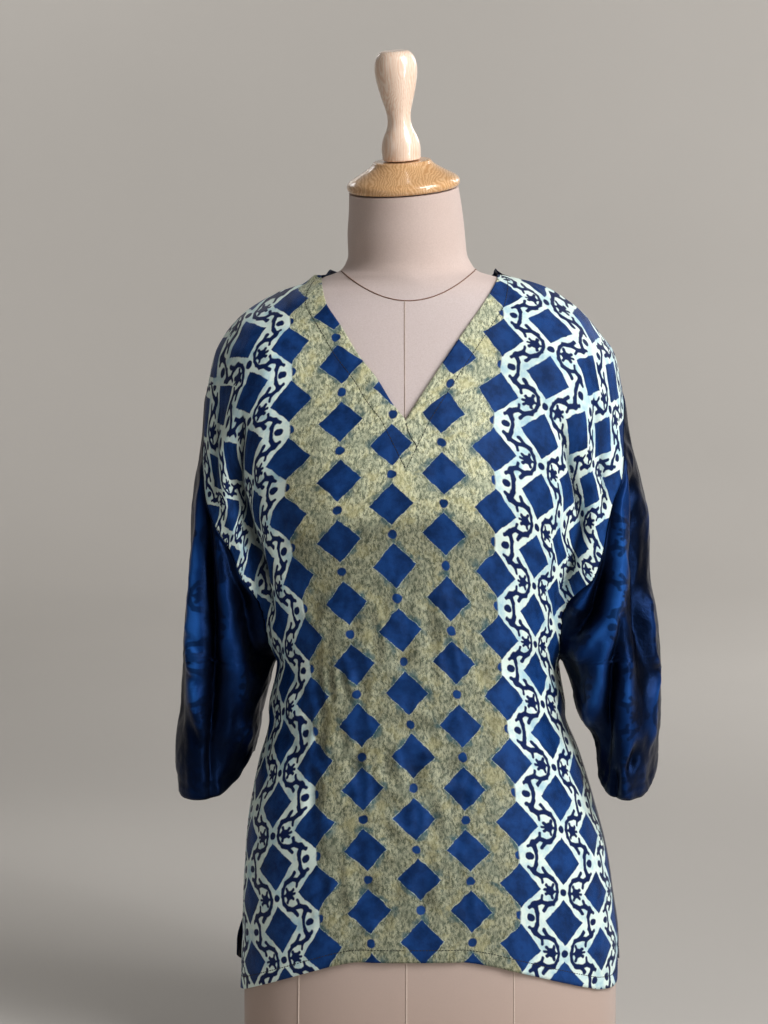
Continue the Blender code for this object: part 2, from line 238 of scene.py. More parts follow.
# %% [markdown]
# ## Reading the tables
#
# Each column is read on a smooth monotone curve, so a bust or a waist is round and nothing
# bulges between two rows. A horizontal ring of cloth is then the body's oval and the sleeves'
# ovals, blended with a rounded maximum.

# %% Curves through the tables
def along(table, column, where):
    """A column's value at one or many heights, on a smooth curve that never overshoots."""
    z = np.array([row.z for row in table], float)
    v = np.array([getattr(row, column) for row in table], float)
    step = np.diff(z)
    rate = np.diff(v) / step
    slope = np.empty_like(v)
    slope[0] = rate[0]
    slope[-1] = rate[-1]
    product = rate[:-1] * rate[1:]
    total = np.where(product > 0, rate[:-1] + rate[1:], 1.0)
    slope[1:-1] = np.where(product > 0, 2 * product / total, 0.0)
    where = np.clip(np.asarray(where, float), z[0], z[-1])
    i = np.clip(np.searchsorted(z, where) - 1, 0, len(z) - 2)
    h = step[i]
    t = (where - z[i]) / h
    return (v[i] * (1 + 2 * t) * (1 - t) ** 2 + v[i + 1] * t * t * (3 - 2 * t)
            + h * slope[i] * t * (1 - t) ** 2 - h * slope[i + 1] * t * t * (1 - t))


def smooth(low, high, value):
    """0 below low, 1 above high, and an S between them."""
    t = np.clip((np.asarray(value, float) - low) / (high - low), 0, 1)
    return t * t * (3 - 2 * t)


# %% Rings of cloth
RING_POINTS = 321


def oval(x, centre, half_width, depth, power):
    """Depth of an oval at each x. Past its ends it runs on below zero, so ovals can blend."""
    u = np.abs(x - centre) / half_width
    inside = np.clip(1 - u ** power, 0, 1) ** (1 / power)
    return depth * (inside - RUN_OFF * np.clip(u - 1, 0, None))


def blend(a, b, width):
    """The larger of two depths, rounded over where they meet."""
    top = np.maximum(a, b)
    width = np.clip(np.minimum(width, top), 1e-6, None)
    overlap = np.clip(width - np.abs(a - b), 0, None) / width
    return top + overlap ** 2 * width / 4


def body_oval(z, face):
    """Centre, half width, depth and power of the tunic's body at a height."""
    column = "front" if face < 0 else "back"
    low = z - RISE
    return (along(FORM, "centre", low),
            along(FORM, "half_width", low) + along(EASE, "side", z),
            along(FORM, column, low) + along(EASE, column, z),
            along(FORM, "power", low))


def arm_oval(z, side):
    """The same for a sleeve; side is -1 for the one at -X."""
    name = "left" if side < 0 else "right"
    fold = along(ARMS, name + "_fold", z)
    inner = along(ARMS, name + "_inner", z)
    return (fold + inner) / 2, abs(fold - inner) / 2, along(ARMS, "depth", z), SLEEVE_POWER


def spread(low, high):
    """Places between two ends, closer together towards the ends."""
    t = (1 - np.cos(np.linspace(0, math.pi, RING_POINTS))) / 2
    return low + (high - low) * t


def place(x, depth, z, face):
    """Outline points in the plane, with the section turned as the torso is."""
    y = face * np.clip(depth, 0, None)
    return np.column_stack([x + y * math.tan(math.radians(along(FORM, "turn", z))), y])


def oval_outline(shape, z, face):
    centre, half = shape[:2]
    x = spread(centre - half, centre + half)
    return place(x, oval(x, *shape), z, face)


def body_outline(z, face):
    return oval_outline(body_oval(z, face), z, face)


def arm_outline(z, face, side):
    return oval_outline(arm_oval(z, side), z, face)


def whole_depth(x, z, face):
    """Depth of body and sleeves together at each x."""
    soft = along(ARMS, "soft", z)
    deep = blend(oval(x, *body_oval(z, face)), oval(x, *arm_oval(z, -1)), soft)
    return blend(deep, oval(x, *arm_oval(z, 1)), soft)


def whole_outline(z, face):
    centre, half = body_oval(z, face)[:2]
    left = arm_oval(z, -1)
    right = arm_oval(z, 1)
    x = spread(min(centre - half, left[0] - left[1]), max(centre + half, right[0] + right[1]))
    return place(x, whole_depth(x, z, face), z, face)


class Ring:
    """One side of a ring at one height: fine points and outward normals by arc length."""

    def __init__(self, outline, z, face, flipped=False):
        here, above, below = (outline(h, face) for h in (z, z + 1, z - 1))
        self.points = np.column_stack([here, np.full(len(here), float(z))])
        rising = np.column_stack([above - below, np.full(len(here), 2.0)])
        normals = -face * np.cross(np.gradient(self.points, axis=0), rising)
        self.normals = normals / np.linalg.norm(normals, axis=1)[:, None]
        if flipped:
            self.points = self.points[::-1]
            self.normals = self.normals[::-1]
        steps = np.linalg.norm(np.diff(self.points, axis=0), axis=1)
        self.arc = np.concatenate([[0], np.cumsum(steps)])
        self.length = self.arc[-1]
        self.way = np.sign(self.points[-1, 0] - self.points[0, 0])

    def at(self, arc):
        """Points and normals at arc lengths from the start."""
        points = np.stack([np.interp(arc, self.arc, self.points[:, k]) for k in range(3)], -1)
        normals = np.stack([np.interp(arc, self.arc, self.normals[:, k]) for k in range(3)], -1)
        return points, normals

    def arc_at_x(self, x):
        xs = np.maximum.accumulate(self.points[:, 0] * self.way)
        return float(np.interp(x * self.way, xs, self.arc))

    def valley(self):
        """Arc length of the underarm fold, the shallowest place in the first half."""
        first, last = (share * self.length for share in VALLEY_REACH)
        near = (self.arc > first) & (self.arc < last)
        depth = np.abs(self.points[:, 1])
        return float(self.arc[near][np.argmin(depth[near])])


def seam_arc(ring, z, side):
    """Arc length from the outer fold to the lower sleeve's seam."""
    if z > SLEEVE_TOP:
        return 0.0
    inset = along(SEAMS, "left" if side < 0 else "right", z)
    arc = ring.arc_at_x(ring.points[0, 0] - side * inset)
    near = np.clip((VALLEY_TOP - z) / (VALLEY_TOP - VALLEY_BOTTOM), 0, 1)
    return arc + (ring.valley() - arc) * near * near * (3 - 2 * near)


def centre_line(z, face):
    """The centre front or centre back of the cloth at a height."""
    if face < 0:
        return -0.5 + 1.5 * (V_BOTTOM - z) / V_BOTTOM
    centre, _, depth, _ = body_oval(z, face)
    return centre + depth * math.tan(math.radians(along(FORM, "turn", z)))


def neck_edge(z, face, side):
    """Where the neckline cuts a ring."""
    if face < 0:
        return along(VEE, "left" if side < 0 else "right", z)
    return centre_line(z, 1) + side * along(NAPE, "half_width", z)


ring = Ring(whole_outline, 600, -1)
print("front of the ring at the bust, mm:", round(ring.length, 1))

# %% [markdown]
# ## How the print lies on the cloth
#
# The blocks were printed on flat cloth, so the print's columns and rows are even there. On the
# form the cloth turns with the arm and gives on the bias, so the lattice drops and leans towards
# the sleeves. For about ninety cells the table says where the centre lies on the cloth, and a
# thin plate bends smoothly from each one to the next.

# %% Places of the print
COLUMN = 47.4          # between two columns of squares
ROW = 57.2             # between two squares of a column
PIVOT = 600.0          # above this height, heights are measured along the cloth
GIVE = 200.0           # how freely the plate may miss a place

AXIS = table("z x", """
88 18
144 15.5
203 12.6
258 7.6
315 6.8
374 1
431 -5.4
491 -10
547 -13.2
600 -13.2
673 -7.5
756 -7.5
""")

# Columns count from the middle and rows down from the V. `across` and `up` are millimetres
# along the cloth.
PLACES = table("column row across up", """
-5 -1.5 -179 568
-5 -0.5 -158 536
-4 -3 -198 687
-4 -2 -171 638
-4 5 -162 286
-4 6 -181 227
-4 7 -178 170
-4 8 -171 113
-3 -2.5 -144 703
-3 -1.5 -135 649
-3 -0.5 -139 593
-3 0.5 -138 539
-3 1.5 -127 485
-3 2.5 -119 436
-3 3.5 -127 378
-3 4.5 -131 321
-3 5.5 -136 263
-3 6.5 -139 207
-3 7.5 -134 149
-2 -3 -103 747
-2 -2 -99 698
-2 -1 -96 640
-2 0 -95 585
-2 1 -98 532
-2 2 -93 477
-2 3 -89 420
-2 4 -91 366
-2 5 -92 306
-2 6 -92 250
-2 7 -94 194
-2 8 -93 135
-1 -2.5 -61 729
-1 -1.5 -52 678
-1 -0.5 -47 621
-1 0.5 -47 568
-1 1.5 -50 512
-1 2.5 -47 455
-1 3.5 -45 399
0 0 0 600
0 1 0 547
0 2 0 491
0 3 0 431
0 4 0 374
0 5 0 315
0 6 0 258
0 7 0 203
0 8 0 144
1 -1.5 54 685
1 -0.5 44 630
1 0.5 47 574
1 1.5 46 520
2 -3 100 754
2 -2 96 706
2 -1 93 650
2 0 93 595
2 1 94 540
2 2 92 481
2 3 92 423
2 4 92 366
2 5 93 308
2 6 96 250
2 7 93 194
2 8 91 138
3 -3 146 741
3 -2.5 143 715
3 -1.5 139 661
3 -0.5 140 606
3 0.5 140 552
3 1.5 133 496
3 2.5 132 440
3 3.5 137 385
3 4.5 140 325
3 5.5 146 269
3 6.5 141 211
3 7.5 138 153
3 8.5 135 95
4 -3 194 714
4 -2 187 668
4 -1 179 610
4 0 177 556
4 1 164 502
4 2 158 458
4 3 164 404
4 4 186 342
4 5 183 284
4 6 189 229
4 7 185 174
4 8 186 123
5 -2.5 221 660
5 -1.5 211 602
5 -1 196 580
5 0.5 179 509
""")


def plate(here, known):
    """How much each known place bends the plate at each of the places here."""
    apart = ((here[:, None] - known[None]) ** 2).sum(-1)
    return apart * np.log(apart + 1e-9) / 2


def level(places):
    return np.column_stack([np.ones(len(places)), places])


KNOWN = np.array([(p.across, p.up) for p in PLACES])
WANTED = np.array([(p.column * COLUMN, p.row * ROW) for p in PLACES])
bends = plate(KNOWN, KNOWN) + GIVE * np.eye(len(KNOWN))
system = np.block([[bends, level(KNOWN)], [level(KNOWN).T, np.zeros((3, 3))]])
WEIGHTS = np.linalg.solve(system, np.vstack([WANTED, np.zeros((3, 2))]))


def print_place(grid):
    """Print coordinates in mm for the points of a grid, whose first row is its highest."""
    y, z = grid.points[..., 1], grid.points[..., 2]
    up = z.copy()
    first = int(np.argmin(np.abs(z[:, 0] - PIVOT)))
    for i in range(first - 1, -1, -1):
        up[i] = up[i + 1] + np.hypot(y[i] - y[i + 1], z[i] - z[i + 1])
    here = np.column_stack([grid.across.ravel(), up.ravel()])
    at = plate(here, KNOWN) @ WEIGHTS[:-3] + level(here) @ WEIGHTS[-3:]
    return at.reshape(*z.shape, 2)


print("places of the print:", len(PLACES))

# %% [markdown]
# ## Folds
#
# Satin that hangs shows a few long folds and many soft dents. The long ones are placed one by one.
# Each is a line on the cloth, seen flat from the front or back, and rows with the same number
# are one line. A positive height is a ridge and a negative one is a valley.

# %% The long folds
FRONT_FOLDS = table("fold x z width height", """
1 -149 640 5 0
1 -152 600 5 -6
1 -155 564 5 -8
1 -146 527 5 -9
1 -134 488 5 -8
1 -126 452 4 -5
1 -120 425 4 0
2 -160 640 7 0
2 -167 590 8 4
2 -165 545 7 5
2 -154 505 6 4
2 -141 470 5 0
3 -172 660 5 0
3 -176 610 5 -5
3 -177 560 5 -4
3 -172 530 5 0
4 138 640 6 0
4 147 600 5 -5
4 158 560 4 -7
4 163 525 4 -6
4 152 480 4 -6
4 140 445 4 -3
4 132 420 4 0
5 150 650 7 0
5 163 600 7 4
5 173 560 6 5
5 174 520 6 4
5 160 480 5 0
6 172 660 5 0
6 181 600 4 -4
6 184 550 4 -4
6 180 520 4 0
7 -128 640 10 0
7 -131 590 10 3
7 -128 530 9 3.5
7 -114 470 8 2.5
7 -106 430 7 0
8 122 640 10 0
8 127 590 10 3
8 134 530 9 3
8 126 470 8 2.5
8 118 430 7 0
9 -116 420 4 0
9 -104 395 4 1.8
9 -88 372 4 0
10 -112 398 3.5 0
10 -101 376 3.5 -1.8
10 -84 352 3.5 0
11 -114 375 4 0
11 -102 350 4 2
11 -86 322 4 0
12 -118 350 3.5 0
12 -108 325 4 -1.6
12 -92 296 4 0
13 126 400 4 0
13 108 378 4 1.8
13 92 352 4 0
14 130 372 3.5 0
14 114 350 3.5 -1.6
14 98 322 3.5 0
15 134 345 4 0
15 120 318 4 1.8
15 104 290 4 0
16 -78 640 12 0
16 -72 560 13 1.6
16 -52 470 12 0
17 72 640 12 0
17 66 560 13 1.6
17 52 470 12 0
18 -60 400 9 0
18 -70 320 10 1.8
18 -78 200 12 1.2
18 -80 100 12 1.6
19 78 400 9 0
19 86 320 10 1.8
19 96 200 12 1.2
19 100 100 12 1.6
20 -18 380 9 0
20 -24 300 11 -1.3
20 -30 180 12 0
21 38 360 9 0
21 42 280 10 -1.3
21 50 160 12 0
22 -36 690 3 0
22 -30 650 4 0.9
22 -24 610 4 0
23 -118 700 9 0
23 -128 660 9 2
23 -134 620 8 0
24 122 700 9 0
24 134 660 9 2
24 142 620 8 0
""")

BACK_FOLDS = table("fold x z width height", """
1 150 660 8 0
1 158 600 8 -6
1 166 520 7 -5
1 150 440 6 0
2 -150 660 8 0
2 -152 600 8 -6
2 -150 520 7 -5
2 -126 440 6 0
3 -30 480 9 0
3 -60 430 9 2
3 -96 390 8 0
4 60 480 9 0
4 88 430 9 2
4 122 390 8 0
5 -10 440 7 0
5 -40 395 7 -1.8
5 -78 355 7 0
6 40 440 7 0
6 66 395 7 -1.8
6 104 355 7 0
7 -80 330 11 0
7 -86 260 12 2
7 -84 110 13 1.5
8 104 330 11 0
8 108 260 12 2
8 104 110 13 1.5
""")

LEFT_FOLDS = table("fold x z width height", """
1 -189 600 4 0
1 -190 520 5 6
1 -194 455 7 10
1 -196 415 8 12
1 -194 360 7 9
1 -190 322 6 0
2 -186 600 3 0
2 -184 545 3.5 -8
2 -182 470 4.5 -12
2 -179 415 5 -14
2 -178 360 7 -13
2 -180 310 7 -9
2 -181 265 8 -5
3 -176 560 7 0
3 -171 500 8 3.5
3 -166 440 9 4.5
3 -158 385 11 5
3 -152 352 9 0
4 -168 560 6 0
4 -158 500 8 -9
4 -146 450 11 -12
4 -136 400 11 -10
4 -132 370 8 0
5 -206 560 5 0
5 -208 480 6 -6
5 -211 420 7 -7
5 -213 350 7 -4
5 -210 300 6 0
6 -202 428 3 0
6 -193 414 3.5 -4
6 -186 394 3 0
7 -186 436 3 0
7 -182 424 3 3.5
7 -178 405 3 0
8 -204 388 3 0
8 -196 382 3.5 -4.5
8 -186 366 3 0
9 -198 366 3 0
9 -190 352 4 -4
9 -188 336 3 0
10 -160 345 8 0
10 -150 325 9 4
10 -143 300 7 0
11 -186 330 7 0
11 -172 312 9 -5
11 -164 270 9 -5
12 -204 346 4 0
12 -196 322 5 -5
12 -186 306 4 0
""")

RIGHT_FOLDS = table("fold x z width height", """
1 196 600 8 0
1 197 545 10 8
1 197 480 11 9
1 193 430 9 7
1 190 395 7 0
2 213 590 4 0
2 214 545 5 -8
2 216 490 7 -12
2 221 430 8 -12
2 224 380 8 -7
2 224 340 7 0
3 182 575 4 0
3 180 520 6 -11
3 180 470 7 -13
3 172 443 7 -12
3 158 424 6 -9
3 146 415 5 0
4 176 500 6 0
4 172 468 6 7
4 163 449 6 7
4 152 434 5 0
5 192 450 5 0
5 181 428 6 6
5 166 405 8 5
5 158 385 6 0
6 200 452 3 0
6 197 425 3.5 -6
6 193 385 4.5 -12
6 188 345 6 -12
6 184 300 8 -9
6 182 265 8 -7
7 186 430 5 0
7 182 390 8 8
7 176 345 10 6
7 172 315 8 0
8 206 430 7 0
8 206 370 9 6
8 206 310 9 3
8 206 290 8 0
9 229 470 3 0
9 230 440 3 6
9 233 400 3.5 6
9 239 385 3 5
9 232 360 4 6
9 232 325 4 5
9 230 305 3 0
10 222 320 8 0
10 212 300 6 -6
10 203 285 5 0
11 216 330 4 0
11 207 312 3.5 4
11 203 296 3.5 5
11 204 270 4 6
12 194 300 5 0
12 197 282 6 -8
12 198 262 6 -8
13 226 560 3 0
13 230 530 3 5
13 234 495 3 4
13 236 470 3 0
""")

CREST = 1.6            # below 2 makes a fold's crest sharper than a bell's


def fold_relief(folds, x, z):
    """Height of all the folds at each place, seen flat."""
    total = np.zeros_like(x)
    for number in sorted({f.fold for f in folds}):
        line = [f for f in folds if f.fold == number]
        relief = np.zeros_like(x)
        for p, q in zip(line, line[1:]):
            along_x, along_z = q.x - p.x, q.z - p.z
            t = ((x - p.x) * along_x + (z - p.z) * along_z) / (along_x ** 2 + along_z ** 2)
            t = np.clip(t, 0, 1)
            away = np.hypot(x - p.x - t * along_x, z - p.z - t * along_z)
            s = t * t * (3 - 2 * t)
            height = p.height + (q.height - p.height) * s
            width = p.width + (q.width - p.width) * t
            here = height * np.exp(-(away / width) ** CREST)
            relief = np.where(np.abs(here) > np.abs(relief), here, relief)
        total += relief
    return total


def dents(points, size, stretch, height):
    """Soft uneven dents, longer down the cloth than across it."""
    flat = points.reshape(-1, 3)
    scale = np.array([1 / size, 1 / size, 1 / (size * stretch)])
    values = [noise.noise(Vector(p * scale)) for p in flat]
    return np.array(values).reshape(points.shape[:-1]) * height


def creases(points, size, stretch, height):
    """Fine crossing creases: the dents folded up along their own middle lines."""
    return height * (1 - 4 * np.abs(dents(points, size, stretch, 1.0)))


# %% [markdown]
# ## Sheets of cloth
#
# A front or back is two half grids that meet at the centre, and a lower sleeve is one grid
# that closes to a tube below the underarm. The points are pushed out along their normals by
# the folds, and a Solidify modifier gives the wall. The print's place goes in the UV map.

# %% Grids
GAP = 0.2              # half the gap at a seam
PITCH = 3.0            # between rows of the fine cloth
HALF_COLUMNS = 84
SLEEVE_COLUMNS = 120
HEM_DEPTH = 11.5       # from the hem's edge to its stitches
FACING_DEPTH = 22.0    # from the neckline to the facing's stitches, level
WALL = 0.9             # thickness that the modifier gives
FAR = 999.0
FOLD_SPAN = 16.0       # from the floor of a deep fold to its crest

Grid = namedtuple("Grid", "points normals across edge hem crest", defaults=[None])

NECKLINE_ROWS = 13
BELOW_NAPE = int((NAPE_BOTTOM - SPLIT) / PITCH)
UPPER = np.concatenate([np.linspace(CLOTH_TOP, NAPE_BOTTOM, NECKLINE_ROWS)[:-1],
                        np.linspace(NAPE_BOTTOM, SPLIT + PITCH, BELOW_NAPE)])


def at_heights(stack, levels, heights):
    """A row read from a stack of level rows, each column at a height of its own."""
    spot = (heights - levels[0]) / PITCH
    low = np.clip(spot.astype(int), 0, len(levels) - 2)
    part = (spot - low)[:, None]
    column = np.arange(stack.shape[1])
    return stack[low, column] * (1 - part) + stack[low + 1, column] * part


def upper_rows(face, side):
    """Rows above the split, each from the sleeve seam to the neckline or the centre."""
    rows = []
    for z in UPPER:
        ring = Ring(whole_outline, z, face, flipped=side > 0)
        centre = ring.arc_at_x(centre_line(z, face))
        bottom = V_BOTTOM if face < 0 else NAPE_BOTTOM
        end = ring.arc_at_x(neck_edge(z, face, side)) if z > bottom else centre
        arcs = np.linspace(seam_arc(ring, z, side) + GAP, end, HALF_COLUMNS + 1)
        points, normals = ring.at(arcs)
        across = side * (ring.arc_at_x(along(AXIS, "x", z)) - arcs)
        edge = end - arcs if z > bottom else np.full(len(arcs), FAR)
        rows.append(Grid(points, normals, across, edge, np.full(len(arcs), FAR)))
    return rows


def lower_rows(face, side):
    """Rows below the split, which spread out to follow the curve of the hem."""
    shares = np.linspace(0, 1, HALF_COLUMNS + 1)
    hem = along(HEM, "front" if face < 0 else "back", 1 - shares)
    levels = np.arange(hem.min() - PITCH, SPLIT + PITCH, PITCH)
    last = Ring(whole_outline, SPLIT + PITCH, face, flipped=side > 0)
    above = last.arc_at_x(centre_line(SPLIT, face)) - seam_arc(last, SPLIT + PITCH, side) - GAP
    stack = []
    for z in levels:
        ring = Ring(body_outline, z, face, flipped=side > 0)
        end = ring.arc_at_x(centre_line(z, face))
        arcs = end - eased(1 - shares, above, end - GAP, z)
        points, normals = ring.at(arcs)
        across = side * (ring.arc_at_x(along(AXIS, "x", z)) - arcs)
        stack.append(np.column_stack([points, normals, across]))
    stack = np.array(stack)
    rows = []
    count = int((SPLIT - hem.min()) / PITCH)
    for t in np.linspace(0, 1, count + 1):
        z = SPLIT + (hem - SPLIT) * t
        row = at_heights(stack, levels, z)
        rows.append(Grid(row[:, :3], row[:, 3:6], row[:, 6], np.full(len(shares), FAR), z - hem))
    return rows


def eased(shares, above, whole, z):
    """Arc lengths at shares of a ring. Near the split they go on from those of the rows above,
    so that the columns don't lean, and the length that was hidden is taken up by the last few."""
    near = smooth(SPLIT - 80, SPLIT, z)
    matched = above * shares + (whole - above) * smooth(0.84, 1.0, shares)
    return matched * near + whole * shares * (1 - near)


def stacked(rows):
    return Grid(*(np.array([getattr(row, name) for row in rows]) for name in Grid._fields[:5]))


def sleeve_rows(side):
    """Rows of a lower sleeve, from the inner front over the outer fold to the inner back."""
    shares = np.linspace(0, 1, SLEEVE_COLUMNS + 1)
    rows = []
    for z in UPPER[UPPER <= SLEEVE_TOP]:
        parts = []
        for face, some in ((-1, shares[shares < 0.5]), (1, shares[shares >= 0.5])):
            ring = Ring(whole_outline, z, face, flipped=side > 0)
            arcs = (seam_arc(ring, z, side) - GAP) * np.abs(1 - 2 * some)
            parts.append(np.column_stack([*ring.at(arcs), face * arcs]))
        row = np.vstack(parts)
        rows.append(Grid(row[:, :3], row[:, 3:6], row[:, 6], None, np.full(len(shares), FAR)))
    cuff = along(CUFF, "height", shares)
    levels = np.arange(cuff.min() - PITCH, SPLIT + PITCH, PITCH)
    above = {face: seam_arc(Ring(whole_outline, SPLIT + PITCH, face, flipped=side > 0),
                            SPLIT + PITCH, side) - GAP for face in (-1, 1)}
    stack = []
    for z in levels:
        parts = []
        for face, some in ((-1, shares[shares < 0.5]), (1, shares[shares >= 0.5])):
            ring = Ring(lambda h, f: arm_outline(h, f, side), z, face, flipped=side > 0)
            arcs = eased(np.abs(1 - 2 * some), above[face], ring.length, z)
            parts.append(np.column_stack([*ring.at(arcs), face * arcs]))
        stack.append(np.vstack(parts))
    stack = np.array(stack)
    for t in np.linspace(0, 1, int((SPLIT - cuff.min()) / PITCH) + 1):
        z = SPLIT + (cuff - SPLIT) * t
        row = at_heights(stack, levels, z)
        rows.append(Grid(row[:, :3], row[:, 3:6], row[:, 6], None, z - cuff))
    return rows


# %% From grids to a mesh
HEM_RISE = 0.3         # how far the doubled edge stands out
HEM_PULL = 0.6         # how far its stitches draw the cloth in
PULL_WIDTH = 1.6


def hem_relief(hem):
    """A doubled edge stands out a little, and its stitches draw the cloth in."""
    doubled = HEM_RISE * smooth(HEM_DEPTH + 1, HEM_DEPTH - 1, hem)
    return doubled - HEM_PULL * np.exp(-((hem - HEM_DEPTH) / PULL_WIDTH) ** 2)


def select_only(piece):
    bpy.ops.object.select_all(action='DESELECT')
    piece.select_set(True)
    bpy.context.view_layer.objects.active = piece


def new_mesh(name, points, faces):
    mesh = bpy.data.meshes.new(name)
    mesh.from_pydata(points, [], faces)
    piece = bpy.data.objects.new(name, mesh)
    bpy.context.scene.collection.objects.link(piece)
    return piece


def sheet_of_cloth(name, grids, prints):
    """One welded mesh from (points, normals) grids, with the print in its UV map and a wall."""
    points, faces, places, crests = [], [], [], []
    base = 0
    for grid, at in zip(grids, prints):
        rows, columns = grid.points.shape[:2]
        index = base + np.arange(rows * columns).reshape(rows, columns)
        quads = np.stack([index[:-1, :-1], index[:-1, 1:], index[1:, 1:], index[1:, :-1]], -1)
        i, j = rows // 2, columns // 3
        across = grid.points[i, j + 1] - grid.points[i, j]
        down = grid.points[i + 1, j] - grid.points[i, j]
        if np.dot(np.cross(down, across), grid.normals[i, j]) < 0:
            quads = quads[..., ::-1]
        faces.append(quads[..., ::-1].reshape(-1, 4))
        points.append(grid.points.reshape(-1, 3))
        places.append(at.reshape(-1, 2))
        crests.append(grid.crest.ravel())
        base += rows * columns
    places = np.vstack(places) * MM
    piece = new_mesh(name, np.vstack(points) * MM, np.vstack(faces).tolist())
    layer = piece.data.uv_layers.new(name="print")
    corners = np.zeros(len(piece.data.loops), int)
    piece.data.loops.foreach_get("vertex_index", corners)
    layer.data.foreach_set("uv", places[corners].ravel())
    # how high each point stands in its fold, which the satins use to paint shade in valleys and
    # highlight on ridges
    crest = piece.data.attributes.new("crest", 'FLOAT', 'POINT')
    crest.data.foreach_set("value", np.hstack(crests))
    weld = bmesh.new()
    weld.from_mesh(piece.data)
    bmesh.ops.remove_doubles(weld, verts=weld.verts, dist=0.00004)
    weld.to_mesh(piece.data)
    weld.free()
    piece.data.shade_smooth()
    select_only(piece)
    wall = piece.modifiers.new("Wall", 'SOLIDIFY')
    wall.thickness = WALL * MM
    wall.offset = 0.0
    bpy.ops.object.modifier_apply(modifier=wall.name)
    print(name, len(piece.data.polygons), "faces")
    return piece


def pushed(grid, height, middle=0.5):
    """The grid moved out along its normals. It keeps how high each point of it stands in its
    fold, from 0 deep in a valley to 1 on a ridge, for the satins' painted fold shade and highlight."""
    unit = grid.normals / np.linalg.norm(grid.normals, axis=-1)[..., None]
    crest = np.clip(middle + height / FOLD_SPAN, 0, 1)
    return grid._replace(points=grid.points + unit * height[..., None], normals=unit, crest=crest)


# %% The front
def front_grid(side):
    grid = stacked(upper_rows(-1, side) + lower_rows(-1, side))
    x, z = grid.points[..., 0], grid.points[..., 2]
    height = fold_relief(FRONT_FOLDS, x, z) + dents(grid.points, 34, 2.2, 0.9)
    belly = smooth(110, 200, z) * smooth(500, 440, z) * smooth(105, 70, np.abs(x + 6))
    height += creases(grid.points, 17, 1.9, 1.6) * (0.2 + 0.8 * belly)
    height += hem_relief(grid.hem)
    height -= 0.4 * np.exp(-((grid.edge - FACING_DEPTH) / 2.0) ** 2)
    calm = smooth(0, 12, np.abs(grid.points[..., 1]))
    return pushed(grid, height * calm)


front_grids = [front_grid(side) for side in (-1, 1)]
front_prints = [print_place(g) for g in front_grids]
front = sheet_of_cloth("tunic_front", front_grids, front_prints)

# %% The back
NAPE_LIFT = 6.0
BACK_TONE = 0.64       # the back hangs flatter, and starts higher in the painted fold tones, so it is painted lighter
VENT_FLARE = 9.0


def back_grid(side):
    grid = stacked(upper_rows(1, side) + lower_rows(1, side))
    x, z = grid.points[..., 0], grid.points[..., 2]
    height = fold_relief(BACK_FOLDS, x, z) + dents(grid.points, 38, 2.4, 1.2)
    height += hem_relief(grid.hem)
    calm = smooth(0, 12, np.abs(grid.points[..., 1]))
    grid = pushed(grid, height * calm, middle=BACK_TONE)
    points = grid.points.copy()
    lift = np.exp(-(grid.edge / 8) ** 2) * smooth(40, 66, np.abs(x))
    points[..., 2] += NAPE_LIFT * lift
    if side < 0:
        shares = np.linspace(0, 1, HALF_COLUMNS + 1)[None, :]
        corner = np.exp(-(shares / 0.09) ** 2) * smooth(160, 118, z)
        points[..., 0] -= VENT_FLARE * corner
    return grid._replace(points=points)


back_grids = [back_grid(side) for side in (-1, 1)]
back_prints = [np.stack([g.across, -g.points[..., 2]], -1) for g in back_grids]
back = sheet_of_cloth("tunic_back", back_grids, back_prints)


# %% The lower sleeves
def sleeve_grid(side, folds):
    rows = sleeve_rows(side)
    shares = np.linspace(0, 1, SLEEVE_COLUMNS + 1)
    grid = Grid(*(np.array([getattr(r, n) for r in rows]) for n in ("points", "normals", "across")),
                None, np.array([r.hem for r in rows]))
    x, z = grid.points[..., 0], grid.points[..., 2]
    front_half = smooth(0.56, 0.44, shares)[None, :]
    height = fold_relief(folds, x, z) * (front_half + 0.7 * (1 - front_half))
    seam = np.minimum(shares, 1 - shares)[None, :]
    open_part = smooth(SPLIT + 30, SPLIT - 30, z)
    calm = smooth(0, 0.05, seam) * (1 - open_part) + open_part
    fold_edge = 0.35 + 0.65 * smooth(0.0, 0.08, np.abs(shares - 0.5))[None, :]
    height = height * calm * fold_edge + dents(grid.points, 26, 2.6, 1.6) * calm
    height += creases(grid.points, 15, 2.0, 0.8) * calm
    height += hem_relief(grid.hem)
    return pushed(grid, height)


sleeves = {}
for name, side, folds in (("sleeve_left", -1, LEFT_FOLDS), ("sleeve_right", 1, RIGHT_FOLDS)):
    grid = sleeve_grid(side, folds)
    at = np.stack([grid.across, -grid.points[..., 2]], -1)
    sleeves[name] = sheet_of_cloth("tunic_" + name, [grid], [at])

# %% [markdown]
# ## The padded form
#
# The form is jersey drawn over a padded torso. Its rings are read from the tables every few
# millimetres, so it is smooth. Its seams are fine welts that lie on the cover: one round the
# neck, one down the centre and one down each side of the centre, front and back.

# %% The cover
FORM_SIDES = 120
LEVELS = np.concatenate([[0, 1.2, 3, 5], np.arange(9, 700, 6.0), np.arange(700, 780, 2.0),
                         np.arange(780, 834, 4.0), [834]])


def form_ring(z):
    """One ring of the form, tilted as the neck is."""
    angles = np.linspace(0, 2 * math.pi, FORM_SIDES, endpoint=False)
    c, s = np.cos(angles), np.sin(angles)
    power = along(FORM, "power", z)
    x = along(FORM, "half_width", z) * np.sign(c) * np.abs(c) ** (2 / power)
    depth = np.where(s < 0, along(FORM, "front", z), along(FORM, "back", z))
    y = depth * np.sign(s) * np.abs(s) ** (2 / power)
    roll, nod, turn = (math.tan(math.radians(float(angle))) for angle in
                       (along(NECK, "roll", z), along(NECK, "nod", z), along(FORM, "turn", z)))
    rise = x * roll + y * nod
    x = along(FORM, "centre", z) + x + y * turn
    return np.column_stack([x, y + along(NECK, "forward", z), z + rise])


